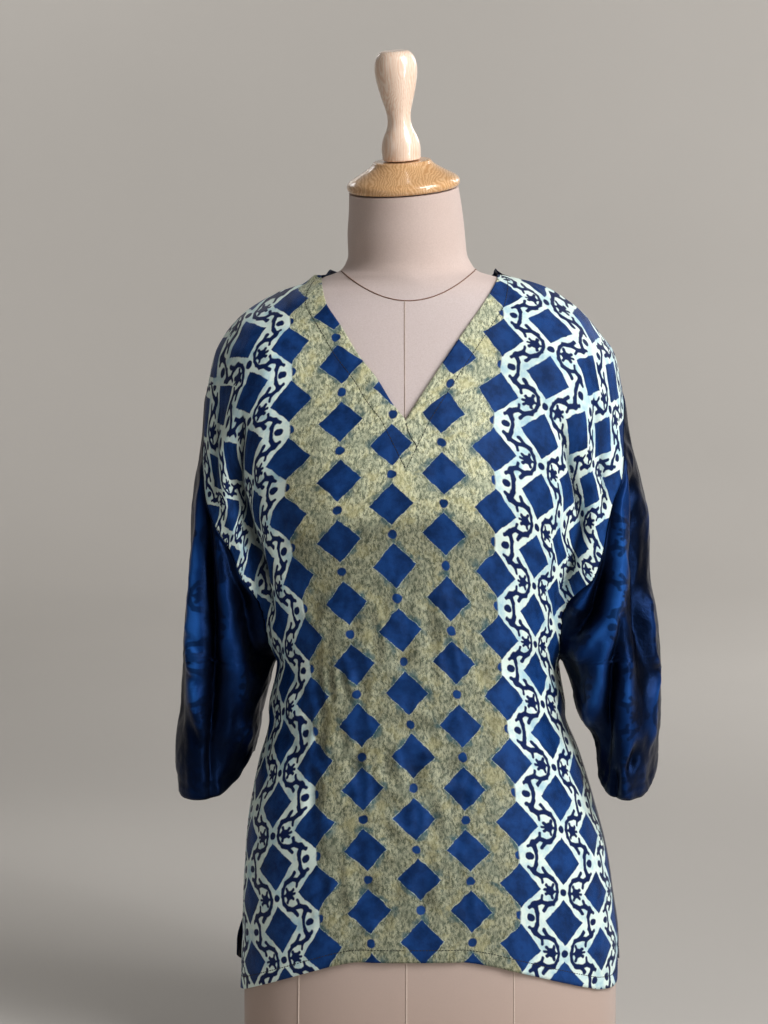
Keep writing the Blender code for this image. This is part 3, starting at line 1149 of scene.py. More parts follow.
rings = np.array([form_ring(z) for z in LEVELS])
index = np.arange(len(LEVELS) * FORM_SIDES).reshape(len(LEVELS), FORM_SIDES)
after = np.roll(index, -1, axis=1)
quads = np.stack([index[:-1], after[:-1], after[1:], index[1:]], -1).reshape(-1, 4).tolist()
ends = [index[0][::-1].tolist(), index[-1].tolist()]
cover = new_mesh("form_cover", rings.reshape(-1, 3) * MM, quads + ends)
cover.data.shade_smooth()
select_only(cover)
bpy.ops.object.shade_smooth_by_angle(angle=math.radians(40))
TREE_OF_COVER = BVHTree.FromObject(cover, bpy.context.evaluated_depsgraph_get())
print("form cover", len(cover.data.polygons), "faces")

# %% Its seams
PRINCESS = table("z x", """
0 100
120 99
250 84
400 56
560 80
660 76
752 60
""")
SEAM_RADIUS = 0.55
SEAM_RISE = 0.1
NECK_FRONT = 729.6     # height of the neck seam at its lowest, in front
NECK_BOW = 0.0074      # how fast it rises with the square of the distance aside
NECK_MIDDLE = 2.3
NECK_REACH = 62.0


def thread(name, paths, radius, cyclic=False):
    """A fine round welt or thread along each path, as one mesh."""
    curve = bpy.data.curves.new(name, 'CURVE')
    curve.dimensions = '3D'
    curve.bevel_depth = radius * MM
    curve.bevel_resolution = 1
    curve.use_fill_caps = True
    for path in paths:
        spline = curve.splines.new('POLY')
        spline.points.add(len(path) - 1)
        spline.points.foreach_set("co", np.column_stack([path, np.ones(len(path))]).ravel())
        spline.use_cyclic_u = cyclic
    piece = bpy.data.objects.new(name, curve)
    bpy.context.scene.collection.objects.link(piece)
    select_only(piece)
    bpy.ops.object.convert(target='MESH')
    piece = bpy.context.object
    piece.data.shade_smooth()
    return piece


def on_form(x, z, face):
    """The form's surface met by a level line from the front or back, in metres."""
    start = Vector((x * MM, face * 0.4, z * MM))
    hit, normal = TREE_OF_COVER.ray_cast(start, Vector((0, -face, 0)))[:2]
    return None if hit is None else hit + normal * SEAM_RISE * MM


def down_seam(face, offset, top):
    path = []
    for z in np.arange(4, top, 6.0):
        lean = along(FORM, "centre", z) * 0.1 - 2
        point = on_form(lean + offset * along(PRINCESS, "x", z), z, face)
        if point is not None:
            path.append(point)
    return np.array(path)


def neck_seam():
    """A ring round the base of the neck: a bow across the front, and nearly level behind."""
    loop = []
    for face, start in ((-1, math.pi), (1, 0.0)):
        for angle in np.linspace(start, start + face * math.pi, 40):
            aside = NECK_REACH * math.cos(angle)
            z = NECK_FRONT + NECK_BOW * (aside ** 2 if face < 0 else NECK_REACH ** 2)
            loop.append(on_form(NECK_MIDDLE + aside, z, face))
    loop = np.array(loop)
    arc = np.concatenate([[0], np.cumsum(np.linalg.norm(np.diff(loop, axis=0), axis=1))])
    even = np.linspace(0, arc[-1], 160, endpoint=False)
    path = []
    for spot in np.stack([np.interp(even, arc, loop[:, k]) for k in range(3)], -1):
        hit, normal = TREE_OF_COVER.find_nearest(Vector(spot))[:2]
        path.append(hit + normal * SEAM_RISE * MM)
    return np.array(path)


neck_line = thread("neck_seam", [neck_seam()], SEAM_RADIUS, cyclic=True)
front_line = thread("upper_front_seam", [down_seam(-1, 0, 731)[95:]], 0.45)
down_lines = thread("form_seams", [down_seam(-1, 0, 570), down_seam(1, 0, 755),
                                   down_seam(-1, -1, 700), down_seam(-1, 1, 700),
                                   down_seam(1, -1, 745), down_seam(1, 1, 745)], SEAM_RADIUS)
print("form seams", len(down_lines.data.polygons), "faces")

# %% [markdown]
# ## The turned cap and knob
#
# Both are turned on a lathe. By hand in Blender a turned piece is a circle that is extruded
# and scaled again and again up its profile, and then set on the tilted top of the neck.

# %% Turning
Turned = namedtuple("Turned", "radius height")
SEAT = 0.3
CAP_HEIGHT = 27.0

CAP = [Turned(49.5, 0), Turned(52.2, 1.6), Turned(53.1, 4.0), Turned(53.2, 6.5), Turned(52.0, 8.9),
       Turned(49.5, 11.0), Turned(46, 12.9), Turned(42, 15.1), Turned(38, 17.4), Turned(34, 19.9),
       Turned(30.5, 22.3), Turned(28.2, 24.6), Turned(27.2, 26.2), Turned(26.4, 27.0)]
KNOB = [Turned(17.2, 0), Turned(17.9, 1.2), Turned(18.1, 4), Turned(18.4, 9), Turned(18.2, 13.5),
        Turned(17.0, 19), Turned(14.8, 24.2), Turned(12.6, 28.4), Turned(11.2, 33), Turned(10.7, 38),
        Turned(11.2, 43), Turned(12.4, 48.5), Turned(14.2, 54.5), Turned(16.1, 61), Turned(18.0, 69),
        Turned(19.4, 76), Turned(20.0, 82), Turned(19.8, 87), Turned(18.6, 92.5), Turned(16.6, 96.5),
        Turned(14.2, 99.2), Turned(12.2, 100.3), Turned(11.0, 100.5)]


def turned(name, profile, lift):
    """A turned piece: a circle extruded and scaled up its profile, then subdivided and seated."""
    bpy.ops.object.select_all(action='DESELECT')
    bpy.ops.mesh.primitive_circle_add(vertices=48, radius=profile[0].radius * MM, fill_type='NGON')
    piece = bpy.context.object
    piece.name = name
    bpy.ops.object.mode_set(mode='EDIT')
    bpy.ops.mesh.select_all(action='SELECT')
    for low, high in zip(profile, profile[1:]):
        rise = (high.height - low.height) * MM
        bpy.ops.mesh.extrude_region_move(TRANSFORM_OT_translate={"value": (0, 0, rise)})
        ratio = high.radius / low.radius
        bpy.ops.transform.resize(value=(ratio, ratio, 1), center_override=(0, 0, high.height * MM))
    bpy.ops.mesh.inset(thickness=0.002)
    bpy.ops.object.mode_set(mode='OBJECT')
    soften = piece.modifiers.new("Soften", 'SUBSURF')
    soften.levels = 2
    soften.render_levels = 2
    bpy.ops.object.modifier_apply(modifier=soften.name)
    bpy.ops.object.shade_smooth_by_angle(angle=math.radians(35))
    tilt = Euler((math.radians(NECK_NOD), -math.radians(NECK_ROLL), 0)).to_matrix().to_4x4()
    axis = tilt @ Vector((0, 0, 1))
    piece.matrix_world = tilt
    piece.location = (Vector(NECK_TOP) + axis * lift) * MM
    bpy.ops.object.transform_apply(location=True, rotation=True, scale=True)
    print(name, len(piece.data.polygons), "faces")
    return piece


cap = turned("wooden_cap", CAP, SEAT)
knob = turned("wooden_knob", KNOB, 2 * SEAT + CAP_HEIGHT)

# %% [markdown]
# ## Stitches
#
# The hem and the neck facing are sewn with a fine thread. One stitch is modelled as
# a slim spindle and copied along each line, so that the line reads as thread and not as paint.
# One half of the front laps over the other at the point of the V, and its edge is a short cord.

# %% One stitch, copied along a line
STITCH = 2.9
STITCH_GAP = 0.4
THREAD = 0.45


def one_stitch():
    """Points and faces of a slim spindle along X."""
    bpy.ops.object.select_all(action='DESELECT')
    bpy.ops.mesh.primitive_uv_sphere_add(segments=5, ring_count=4, radius=1.0,
                                         rotation=(0, math.pi / 2, 0))
    spindle = bpy.context.object
    bpy.ops.object.transform_apply(rotation=True)
    shape = np.array([v.co for v in spindle.data.vertices])
    faces = [list(p.vertices) for p in spindle.data.polygons]
    bpy.data.objects.remove(spindle)
    shape *= [(STITCH - STITCH_GAP) / 2, THREAD, THREAD]
    return shape, faces


SPINDLE, SPINDLE_FACES = one_stitch()


def stitches(name, lines):
    """Stitches along lines of (points, normals), in mm, as one mesh."""
    points, faces = [], []
    for path, normals in lines:
        steps = np.linalg.norm(np.diff(path, axis=0), axis=1)
        arc = np.concatenate([[0], np.cumsum(steps)])
        for start in np.arange(STITCH / 2, arc[-1] - STITCH / 2, STITCH):
            spots = [np.array([np.interp(at, arc, path[:, k]) for k in range(3)])
                     for at in (start - STITCH / 2, start, start + STITCH / 2)]
            normal = np.array([np.interp(start, arc, normals[:, k]) for k in range(3)])
            ahead = spots[2] - spots[0]
            ahead /= np.linalg.norm(ahead)
            side = np.cross(normal, ahead)
            side /= np.linalg.norm(side)
            up = np.cross(ahead, side)
            centre = (spots[0] + spots[2]) / 2 + up * (WALL / 2 + 0.05)
            base = len(points) * len(SPINDLE)
            points.append(centre + SPINDLE @ np.array([ahead, side, up]))
            faces += [[i + base for i in face] for face in SPINDLE_FACES]
    piece = new_mesh(name, np.vstack(points) * MM, faces)
    piece.data.shade_smooth()
    print(name, len(points), "stitches")
    return piece


def level_line(grid, field, value):
    """The line on a grid where a field takes a value, one point for each column that has it."""
    path, normals = [], []
    for j in range(grid.points.shape[1]):
        column = field[:, j]
        below = np.where((column[:-1] - value) * (column[1:] - value) <= 0)[0]
        below = [i for i in below if abs(column[i] - column[i + 1]) < 50 and column[i] != column[i + 1]]
        if below:
            i = below[-1]
            t = (value - column[i]) / (column[i + 1] - column[i])
            path.append(grid.points[i, j] * (1 - t) + grid.points[i + 1, j] * t)
            normals.append(grid.normals[i, j] * (1 - t) + grid.normals[i + 1, j] * t)
    return np.array(path), np.array(normals)


FACING_DROP = 44.0     # from the point of the V to the facing's own point
FACING_TOP = 12.0      # its depth at the shoulder
NARROWING = (720.0, 756.0)  # the heights between which it narrows to that


def facing_line(grid):
    """The facing's stitches: a fixed level distance from the V, down to a point below it."""
    path, normals = [], []
    for i in range(grid.points.shape[0]):
        row = grid.edge[i]
        z = grid.points[i, 0, 2]
        if row[0] < FAR and row.max() > FACING_DEPTH:
            start, end = NARROWING
            depth = FACING_DEPTH * smooth(end, start, z) + FACING_TOP * smooth(start, end, z)
            j = np.interp(depth, row[::-1], np.arange(len(row))[::-1])
        elif row[0] == FAR and z > V_BOTTOM - FACING_DROP:
            out = FACING_DEPTH * (z - (V_BOTTOM - FACING_DROP)) / FACING_DROP
            x = grid.points[i, :, 0]
            order = np.argsort(np.abs(x - x[-1]))
            j = np.interp(out, np.abs(x - x[-1])[order], np.arange(len(row))[order])
        else:
            continue
        low = int(min(j, len(row) - 2))
        t = j - low
        path.append(grid.points[i, low] * (1 - t) + grid.points[i, low + 1] * t)
        normals.append(grid.normals[i, low] * (1 - t) + grid.normals[i, low + 1] * t)
    return np.array(path), np.array(normals)


front_thread = stitches("front_stitches", [level_line(g, g.hem, HEM_DEPTH) for g in front_grids]
                        + [facing_line(g) for g in front_grids])
back_thread = stitches("back_stitches", [level_line(g, g.hem, HEM_DEPTH) for g in back_grids])

# %% The lap at the point of the V
LAP = table("z x", """
595 9
599 9
605 5
613 1.5
621 -0.5
""")
LAP_RADIUS = 0.4

tree_of_front = BVHTree.FromObject(front, bpy.context.evaluated_depsgraph_get())
lap_path = []
for z in np.arange(595, 621, 2.0):
    start = Vector((along(LAP, "x", z), -400.0, z)) * MM
    lap_path.append(tree_of_front.ray_cast(start, Vector((0, 1, 0)))[0])
lap_edge = thread("lap_edge", [np.array(lap_path)], LAP_RADIUS)
print("lap edge", len(lap_edge.data.polygons), "faces")

# %% [markdown]
# ## Finishes
#
# One helper turns the hex colours of a paint card to linear light, and one adds a node with its
# settings and links. Everything else is plain node graphs.

# %% Two helpers
def linear(code):
    """Linear RGBA of an sRGB hex value."""
    parts = [int(code[i:i + 2], 16) / 255 for i in (1, 3, 5)]
    return tuple(c / 12.92 if c <= 0.04045 else ((c + 0.055) / 1.055) ** 2.4 for c in parts) + (1.0,)


def add(tree, kind, *values, take=0, into=None, **settings):
    """Adds a node. `values` fill its inputs in order, `into` fills them by name, `settings` are
    its own settings, and the output that `take` names comes back, or the node if it is None."""
    new = tree.nodes.new("ShaderNode" + kind)
    for name, value in settings.items():
        setattr(new, name, value)
    pairs = list(enumerate(values)) + list((into or {}).items())
    for name, value in pairs:
        if isinstance(value, bpy.types.NodeSocket):
            tree.links.new(value, new.inputs[name])
        elif value is not None:
            new.inputs[name].default_value = value
    return new if take is None else new.outputs[take]


def new_material(name):
    """An empty material, its node tree, its Principled shader and its output."""
    material = bpy.data.materials.new(name)
    material.use_nodes = True
    return material, material.node_tree, material.node_tree.nodes["Principled BSDF"]


def dress(piece, material):
    piece.data.materials.clear()
    piece.data.materials.append(material)


# %% [markdown]
# ## The print
#
# It is a resist block print, dyed in indigo. All the cells are squares on their points, in a
# half-drop lattice. In the middle five columns they lie on a mottled olive ground with a dot
# between them. Outside, the ground is left white and filled with a scrolling vine, which is
# mirrored about every column and row. So one quarter of a repeat is charted as strokes,
# and PINGPONG folds every place of the cloth into that quarter.

# %% The chart of one quarter
# Millimetres across from a column with crossing dots, and down from a dot.
VINE = table("a b to_a to_b radius", """
0 0 0.2 0 3.4
15.6 0 14.6 0 4.3
15.2 0 20.2 4.0 1.6
15.2 0 12.4 6.0 1.6
15.2 0 22.2 0 1.3
11 0 6.8 0 1.3
6.8 0 8.2 6.4 1.75
8.2 6.4 12.4 11.6 1.8
12.4 11.6 18.4 13.4 2.45
18.4 13.4 26 11.8 2.1
26 11.8 32.2 15.0 2.45
32.2 15.0 33.4 16.6 3.1
32.4 16 30.0 22.4 2.4
30.0 22.4 29.6 28.8 1.9
18.6 14.2 22.8 19.2 1.95
25.6 11 24.4 6.2 1.5
33.4 16.6 37.8 19.2 1.7
37.4 28.8 35.8 28.8 3.6
""")
HALF_CELL = 20.0
OUTER_CELL = 1.6       # more, where the ground is white
DOT = 4.2
OLIVE_REACH = 2 * COLUMN
LOOSE = 3.0            # how far the hand-set block strays, in mm
ROUNDING = 1.4         # how softly the vine's strokes run into each other


def folded(tree, at):
    """The place on the cloth folded into one quarter of the repeat, loosened a little as a block
    is by hand: the place itself, then a, b from one corner and from the opposite one."""
    loose = add(tree, "TexNoise", at, into={"Scale": 0.09, "Detail": 2.5}, take="Color",
                noise_dimensions='2D')
    loose = add(tree, "VectorMath", loose, (0.5, 0.5, 0.5), operation='SUBTRACT')
    loose = add(tree, "VectorMath", loose, (LOOSE, LOOSE, 0.0), operation='MULTIPLY')
    moved = add(tree, "VectorMath", at, loose, operation='ADD')
    parts = add(tree, "SeparateXYZ", moved, take=None)
    u, v = parts.outputs[0], parts.outputs[1]
    a = add(tree, "Math", u, COLUMN, operation='PINGPONG')
    a = add(tree, "Math", COLUMN, a, operation='SUBTRACT')
    b = add(tree, "Math", v, ROW / 2, operation='PINGPONG')
    a_far = add(tree, "Math", COLUMN, a, operation='SUBTRACT')
    b_far = add(tree, "Math", ROW / 2, b, operation='SUBTRACT')
    return (u, v), (a, b), (a_far, b_far)


def vine_distance(tree, here):
    """Signed distance in mm to the vine, from a folded place."""
    vine = None
    for s in VINE:
        line = Vector((s.to_a - s.a, s.to_b - s.b, 0))
        offset = add(tree, "VectorMath", here, (s.a, s.b, 0), operation='SUBTRACT')
        share = add(tree, "VectorMath", offset, tuple(line), operation='DOT_PRODUCT', take="Value")
        share = add(tree, "Math", share, 1 / line.length_squared, operation='MULTIPLY', use_clamp=True)
        foot = add(tree, "VectorMath", tuple(line), operation='SCALE', into={"Scale": share})
        gap = add(tree, "VectorMath", offset, foot, operation='DISTANCE', take="Value")
        gap = add(tree, "Math", gap, s.radius, operation='SUBTRACT')
        vine = gap if vine is None else add(tree, "Math", vine, gap, ROUNDING, operation='SMOOTH_MIN')
    return vine


def print_masks(tree, at):
    """Signed distances in mm to the cells, the dots, the vine and the olive ground's edge."""
    (u, v), near, far = folded(tree, at)
    even = add(tree, "Math", far[0], near[1], operation='ADD')
    odd = add(tree, "Math", near[0], far[1], operation='ADD')
    cells = add(tree, "Math", even, odd, operation='MINIMUM')
    cells = add(tree, "Math", cells, HALF_CELL, operation='SUBTRACT')
    corners = [add(tree, "CombineXYZ", *corner) for corner in (near, far)]
    to_dots = [add(tree, "VectorMath", corner, operation='LENGTH', take="Value") for corner in corners]
    dots = add(tree, "Math", *to_dots, operation='MINIMUM')
    dots = add(tree, "Math", dots, DOT, operation='SUBTRACT')
    edge = add(tree, "Math", u, operation='ABSOLUTE')
    edge = add(tree, "Math", edge, OLIVE_REACH, operation='SUBTRACT')
    return cells, dots, vine_distance(tree, corners[0]), edge, v


# %% Satin with the print
# The olive ground is a little lighter in its upper part than in its lower part. The two tones
# meet between these two places, in millimetres of print below the height PIVOT.
UPPER_GROUND_TONE = "#e6e6e6"
LOWER_GROUND_TONE = "#b4b4b4"
MEETING = (65.0, 80.0)


def printed_satin():
    """Silk satin, resist printed: a fine smooth weave, with colour that bleeds at its edges."""
    material, tree, shader = new_material("printed silk satin")
    uv = add(tree, "UVMap", uv_map="print")
    at = add(tree, "VectorMath", uv, operation='SCALE', into={"Scale": 1000.0})
    cells, dots, vine, edge, v = print_masks(tree, at)
    fine = add(tree, "TexNoise", at,
               into={"Scale": 0.38, "Detail": 5.0, "Roughness": 0.72, "Distortion": 0.6},
               noise_dimensions='2D')
    broad = add(tree, "TexNoise", at, into={"Scale": 0.045, "Detail": 4.0, "Roughness": 0.65},
                noise_dimensions='2D')
    # the olive ground: dye crackle on a tone that is lighter in its upper part than in its lower part
    block = add(tree, "MapRange", v, *MEETING, 0.0, 1.0)
    tone = add(tree, "Mix", into={0: block, 6: linear(UPPER_GROUND_TONE), 7: linear(LOWER_GROUND_TONE)},
               data_type='RGBA', take=2)
    drawn = add(tree, "Mapping", at, into={"Rotation": (0, 0, 0.5), "Scale": (1.0, 0.55, 1.0)})
    streak = add(tree, "TexNoise", drawn,
                 into={"Scale": 0.36, "Detail": 6.0, "Roughness": 0.8, "Distortion": 0.3},
                 noise_dimensions='2D')
    crackle = add(tree, "MapRange", streak, 0.41, 0.585, 0.0, 1.0)
    olive = add(tree, "Mix", into={0: crackle, 6: linear("#7c846a"), 7: linear("#fbfcd6")},
                data_type='RGBA', take=2)
    patch = add(tree, "MapRange", broad, 0.48, 0.66, 0.0, 0.45)
    warm = add(tree, "MapRange", broad, 0.48, 0.32, 0.0, 0.5)
    for mask, code in ((patch, "#8d9a86"), (warm, "#e4dc9e")):
        olive = add(tree, "Mix", into={0: mask, 6: olive, 7: linear(code)},
                    data_type='RGBA', take=2)
    olive = add(tree, "Mix", into={0: 1.0, 6: olive, 7: tone}, data_type='RGBA',
                blend_type='MULTIPLY', take=2)
    spotty = add(tree, "TexNoise", at, into={"Scale": 0.07, "Detail": 2.0, "Roughness": 0.6},
                 noise_dimensions='2D')
    stain = add(tree, "MapRange", spotty, 0.42, 0.66, 0.0, 13.0)
    stain = add(tree, "Math", stain, cells, operation='SUBTRACT')
    stain = add(tree, "MapRange", stain, 0.0, 10.0, 0.0, 0.8)
    olive = add(tree, "Mix", into={0: stain, 6: olive, 7: linear("#2f5660")},
                data_type='RGBA', take=2)
    rim = add(tree, "MapRange", cells, 1.3, 0.3, 0.0, 0.9)
    patchy = add(tree, "MapRange", fine, 0.42, 0.60, 0.0, 1.0)
    rim = add(tree, "Math", rim, patchy, operation='MULTIPLY')
    olive = add(tree, "Mix", into={0: rim, 6: olive, 7: linear("#c4d3c2")},
                data_type='RGBA', take=2)
    # the white ground: a little green, and bluer where the dye crept in
    creep = add(tree, "MapRange", broad, 0.45, 0.72, 0.0, 1.0)
    white = add(tree, "Mix", into={0: creep, 6: linear("#e4f4ec"), 7: linear("#aed2dc")},
                data_type='RGBA', take=2)
    on_olive = add(tree, "MapRange", edge, 0.8, -0.8, 0.0, 1.0)
    ground = add(tree, "Mix", into={0: on_olive, 6: white, 7: olive}, data_type='RGBA', take=2)
    # indigo: cells everywhere, dots on the olive and the vine on the white
    dots_in = add(tree, "MapRange", dots, 0.5, -0.5, 0.0, 1.0)
    dots_in = add(tree, "Math", dots_in, on_olive, operation='MULTIPLY')
    on_white = add(tree, "Math", 1.0, on_olive, operation='SUBTRACT')
    vine_in = add(tree, "MapRange", vine, 0.45, -0.45, 0.0, 1.0)
    vine_in = add(tree, "Math", vine_in, on_white, operation='MULTIPLY')
    wider = add(tree, "Math", on_white, OUTER_CELL, operation='MULTIPLY')
    cells = add(tree, "Math", cells, wider, operation='SUBTRACT')
    dyed = add(tree, "MapRange", cells, 0.5, -0.5, 0.0, 1.0)
    dyed = add(tree, "Math", dyed, dots_in, operation='MAXIMUM')
    dyed = add(tree, "Math", dyed, vine_in, operation='MAXIMUM')
    depth = add(tree, "MapRange", broad, 0.35, 0.65, 0.0, 1.0)
    indigo = add(tree, "Mix", into={0: depth, 6: linear("#0a2856"), 7: linear("#173f7c")},
                 data_type='RGBA', take=2)
    shade = add(tree, "Mix", into={0: vine_in, 6: indigo, 7: linear("#0a1c4a")},
                data_type='RGBA', take=2)
    colour = add(tree, "Mix", into={0: dyed, 6: ground, 7: shade}, data_type='RGBA', take=2)
    # painted shade: the print darkens towards near black deep in the folds' valleys, by how high a
    # point stands in its fold
    crest = add(tree, "Attribute", attribute_name="crest", take="Fac")
    painted_fold_shade = add(tree, "MapRange", crest, 0.42, 0.08, 0.0, 0.8)
    colour = add(tree, "Mix", into={0: painted_fold_shade, 6: colour, 7: linear("#0a0f16")},
                 data_type='RGBA', take=2)
    tree.links.new(colour, shader.inputs["Base Color"])
    rough = add(tree, "MapRange", fine, 0.0, 1.0, 0.40, 0.56)
    tree.links.new(rough, shader.inputs["Roughness"])
    shader.inputs["Specular IOR Level"].default_value = 0.2
    shader.inputs["Specular Tint"].default_value = linear("#b8cef4")
    # weave: 0.5 mm is coarser than real satin, so that it shows
    weave = add(tree, "TexNoise", at, into={"Scale": 1.6, "Detail": 1.0}, noise_dimensions='2D')
    relief = add(tree, "Math", weave, streak, operation='ADD')
    bump = add(tree, "Bump", into={"Strength": 0.4, "Distance": 0.0007, "Height": relief})
    tree.links.new(bump, shader.inputs["Normal"])
    return material


# %% Navy satin
def navy_satin():
    """The same silk, over-dyed navy. The vine block was printed on it in a darker tone."""
    material, tree, shader = new_material("navy silk satin")
    uv = add(tree, "UVMap", uv_map="print")
    at = add(tree, "VectorMath", uv, operation='SCALE', into={"Scale": 1000.0})
    vine = vine_distance(tree, add(tree, "CombineXYZ", *folded(tree, at)[1]))
    # painted light and shade: the satin's colour runs through five tones by how high a point stands in
    # its fold, near black deep in a valley and bright blue on a ridge, plus a little random dye depth
    crest = add(tree, "Attribute", attribute_name="crest", take="Fac")
    broad = add(tree, "TexNoise", at, into={"Scale": 0.02, "Detail": 3.0}, noise_dimensions='2D')
    depth = add(tree, "MapRange", broad, 0.35, 0.65, -0.07, 0.07)
    depth = add(tree, "Math", crest, depth, operation='ADD')
    wear_and_painted_fold_light = add(tree, "ValToRGB", depth, take=None)
    bar = wear_and_painted_fold_light.color_ramp
    bar.elements[0].color = linear("#010206")
    bar.elements[1].color = linear("#1f4f94")
    for place, code in ((0.34, "#02040c"), (0.54, "#040d22"), (0.8, "#0d2a5a")):
        bar.elements.new(place).color = linear(code)
    motif = add(tree, "MapRange", vine, 0.8, -0.8, 0.0, 0.7, interpolation_type='SMOOTHSTEP')
    colour = add(tree, "Mix", into={0: motif, 6: wear_and_painted_fold_light.outputs[0], 7: linear("#04060f")},
                 data_type='RGBA', take=2)
    tree.links.new(colour, shader.inputs["Base Color"])
    fine = add(tree, "TexNoise", at,
               into={"Scale": 0.2, "Detail": 5.0, "Roughness": 0.6}, noise_dimensions='2D')
    rough = add(tree, "MapRange", fine, 0.0, 1.0, 0.27, 0.41)
    tree.links.new(rough, shader.inputs["Roughness"])
    shader.inputs["Specular IOR Level"].default_value = 0.3
    shader.inputs["Specular Tint"].default_value = linear("#5590ff")
    bump = add(tree, "Bump", into={"Strength": 0.35, "Distance": 0.001, "Height": fine})
    tree.links.new(bump, shader.inputs["Normal"])
    return material


PRINTED = printed_satin()
NAVY = navy_satin()
dress(front, PRINTED)
for piece in (back, *sleeves.values()):
    dress(piece, NAVY)
print("print nodes:", len(PRINTED.node_tree.nodes))


# %% Thread, jersey and lacquered wood
def spun_thread(name, dark, light):
    """Cotton thread, a little uneven along its length."""
    material, tree, shader = new_material(name)
    at = add(tree, "TexCoord", take="Object")
    tone = add(tree, "TexNoise", at, into={"Scale": 400.0, "Detail": 2.0})
    colour = add(tree, "Mix", into={0: tone, 6: linear(dark), 7: linear(light)},
                 data_type='RGBA', take=2)
    tree.links.new(colour, shader.inputs["Base Color"])
    shader.inputs["Roughness"].default_value = 0.7
    return material


def jersey():
    """Beige cotton jersey drawn over padding: matt, with fine courses and faint specks of soiling.
    Its tone is cooler below the neck and darker and browner towards the base.
    """
    material, tree, shader = new_material("beige cotton jersey")
    at = add(tree, "TexCoord", take="Object")
    mm = add(tree, "VectorMath", at, operation='SCALE', into={"Scale": 1000.0})
    broad = add(tree, "TexNoise", mm, into={"Scale": 0.012, "Detail": 4.0, "Roughness": 0.6})
    fine = add(tree, "TexNoise", mm, into={"Scale": 0.8, "Detail": 3.0, "Roughness": 0.7})
    base = add(tree, "Mix", into={0: broad, 6: linear("#c9b2a8"), 7: linear("#dccac2")},
               data_type='RGBA', take=2)
    height = add(tree, "SeparateXYZ", at, take=2)
    # tone by height: cooler below the neck, and darker and browner towards the base
    cool = add(tree, "MapRange", height, 0.76, 0.73, 0.0, 0.6)
    low = add(tree, "MapRange", height, 0.45, 0.05, 0.0, 0.75)
    speck = add(tree, "MapRange", fine, 0.3, 0.7, 0.0, 0.35)
    for mask, code in ((cool, "#d5cbcc"), (low, "#ad927f"), (speck, "#b09c92")):
        base = add(tree, "Mix", into={0: mask, 6: base, 7: linear(code)}, data_type='RGBA', take=2)
    tree.links.new(base, shader.inputs["Base Color"])
    shader.inputs["Roughness"].default_value = 0.88
    shader.inputs["Sheen Weight"].default_value = 0.25
    shader.inputs["Sheen Roughness"].default_value = 0.5
    courses = add(tree, "TexWave", mm,
                  into={"Scale": 0.35, "Distortion": 1.5, "Detail": 1.0}, bands_direction='Z')
    relief = add(tree, "Math", courses, fine, operation='ADD')
    bump = add(tree, "Bump", into={"Strength": 0.2, "Distance": 0.0004, "Height": relief})
    tree.links.new(bump, shader.inputs["Normal"])
    return material


def lacquered_wood(name, light, dark, pore, direction, ring_size):
    """Turned wood under clear lacquer: long grain with fine pores, and a hard wet shine."""
    material, tree, shader = new_material(name)
    at = add(tree, "TexCoord", take="Object")
    mm = add(tree, "Mapping", at,
             into={"Location": tuple(-c for c in NECK_TOP), "Scale": (1000, 1000, 1000)})
    drawn = add(tree, "VectorMath", mm, direction, operation='MULTIPLY')
    sway = add(tree, "TexNoise", drawn, into={"Scale": 0.05, "Detail": 3.0}, take="Color")
    swayed = add(tree, "VectorMath", sway, (26.0, 26.0, 26.0), operation='MULTIPLY')
    swayed = add(tree, "VectorMath", drawn, swayed, operation='ADD')
    rings_of = add(tree, "TexWave", swayed,
                   into={"Scale": 1 / ring_size, "Distortion": 3.0, "Detail": 2.0},
                   bands_direction='X')
    base = add(tree, "Mix", into={0: rings_of, 6: linear(light), 7: linear(dark)},
               data_type='RGBA', take=2)
    pores = add(tree, "TexNoise", drawn, into={"Scale": 0.9, "Detail": 3.0, "Roughness": 0.7})
    pores = add(tree, "MapRange", pores, 0.52, 0.75, 0.0, 0.55)
    colour = add(tree, "Mix", into={0: pores, 6: base, 7: linear(pore)}, data_type='RGBA', take=2)
    tree.links.new(colour, shader.inputs["Base Color"])
    shader.inputs["Roughness"].default_value = 0.35
    shader.inputs["Coat Weight"].default_value = 1.0
    shader.inputs["Coat Roughness"].default_value = 0.06
    return material


dress(cover, jersey())
dress(neck_line, spun_thread("brown seam thread", "#6a4a3a", "#8c6a58"))
dress(front_line, spun_thread("worn seam thread", "#9c877a", "#c4b2a6"))
dress(down_lines, spun_thread("pale seam piping", "#c2afa1", "#dccdc0"))
dress(front_thread, spun_thread("olive sewing thread", "#0e100c", "#1c1e18"))
dress(back_thread, spun_thread("navy sewing thread", "#060a1a", "#101a38"))
dress(lap_edge, spun_thread("raw satin edge", "#101812", "#26302a"))
dress(cap, lacquered_wood("lacquered oak", "#e8bd8c", "#cc9862", "#a06c3a", (1.0, 0.25, 1.0), 9.0))
dress(knob, lacquered_wood("lacquered maple", "#ffe9d6", "#f2cfb4", "#ddb292", (1.0, 1.0, 0.12), 7.0))

# %% [markdown]
# ## What rides on what
#
# Nothing here moves, so every piece rides on the root body. The new sheets stand for the plain
# solids of the cloth, the cover for the solid of the form, and the turned pieces for theirs.

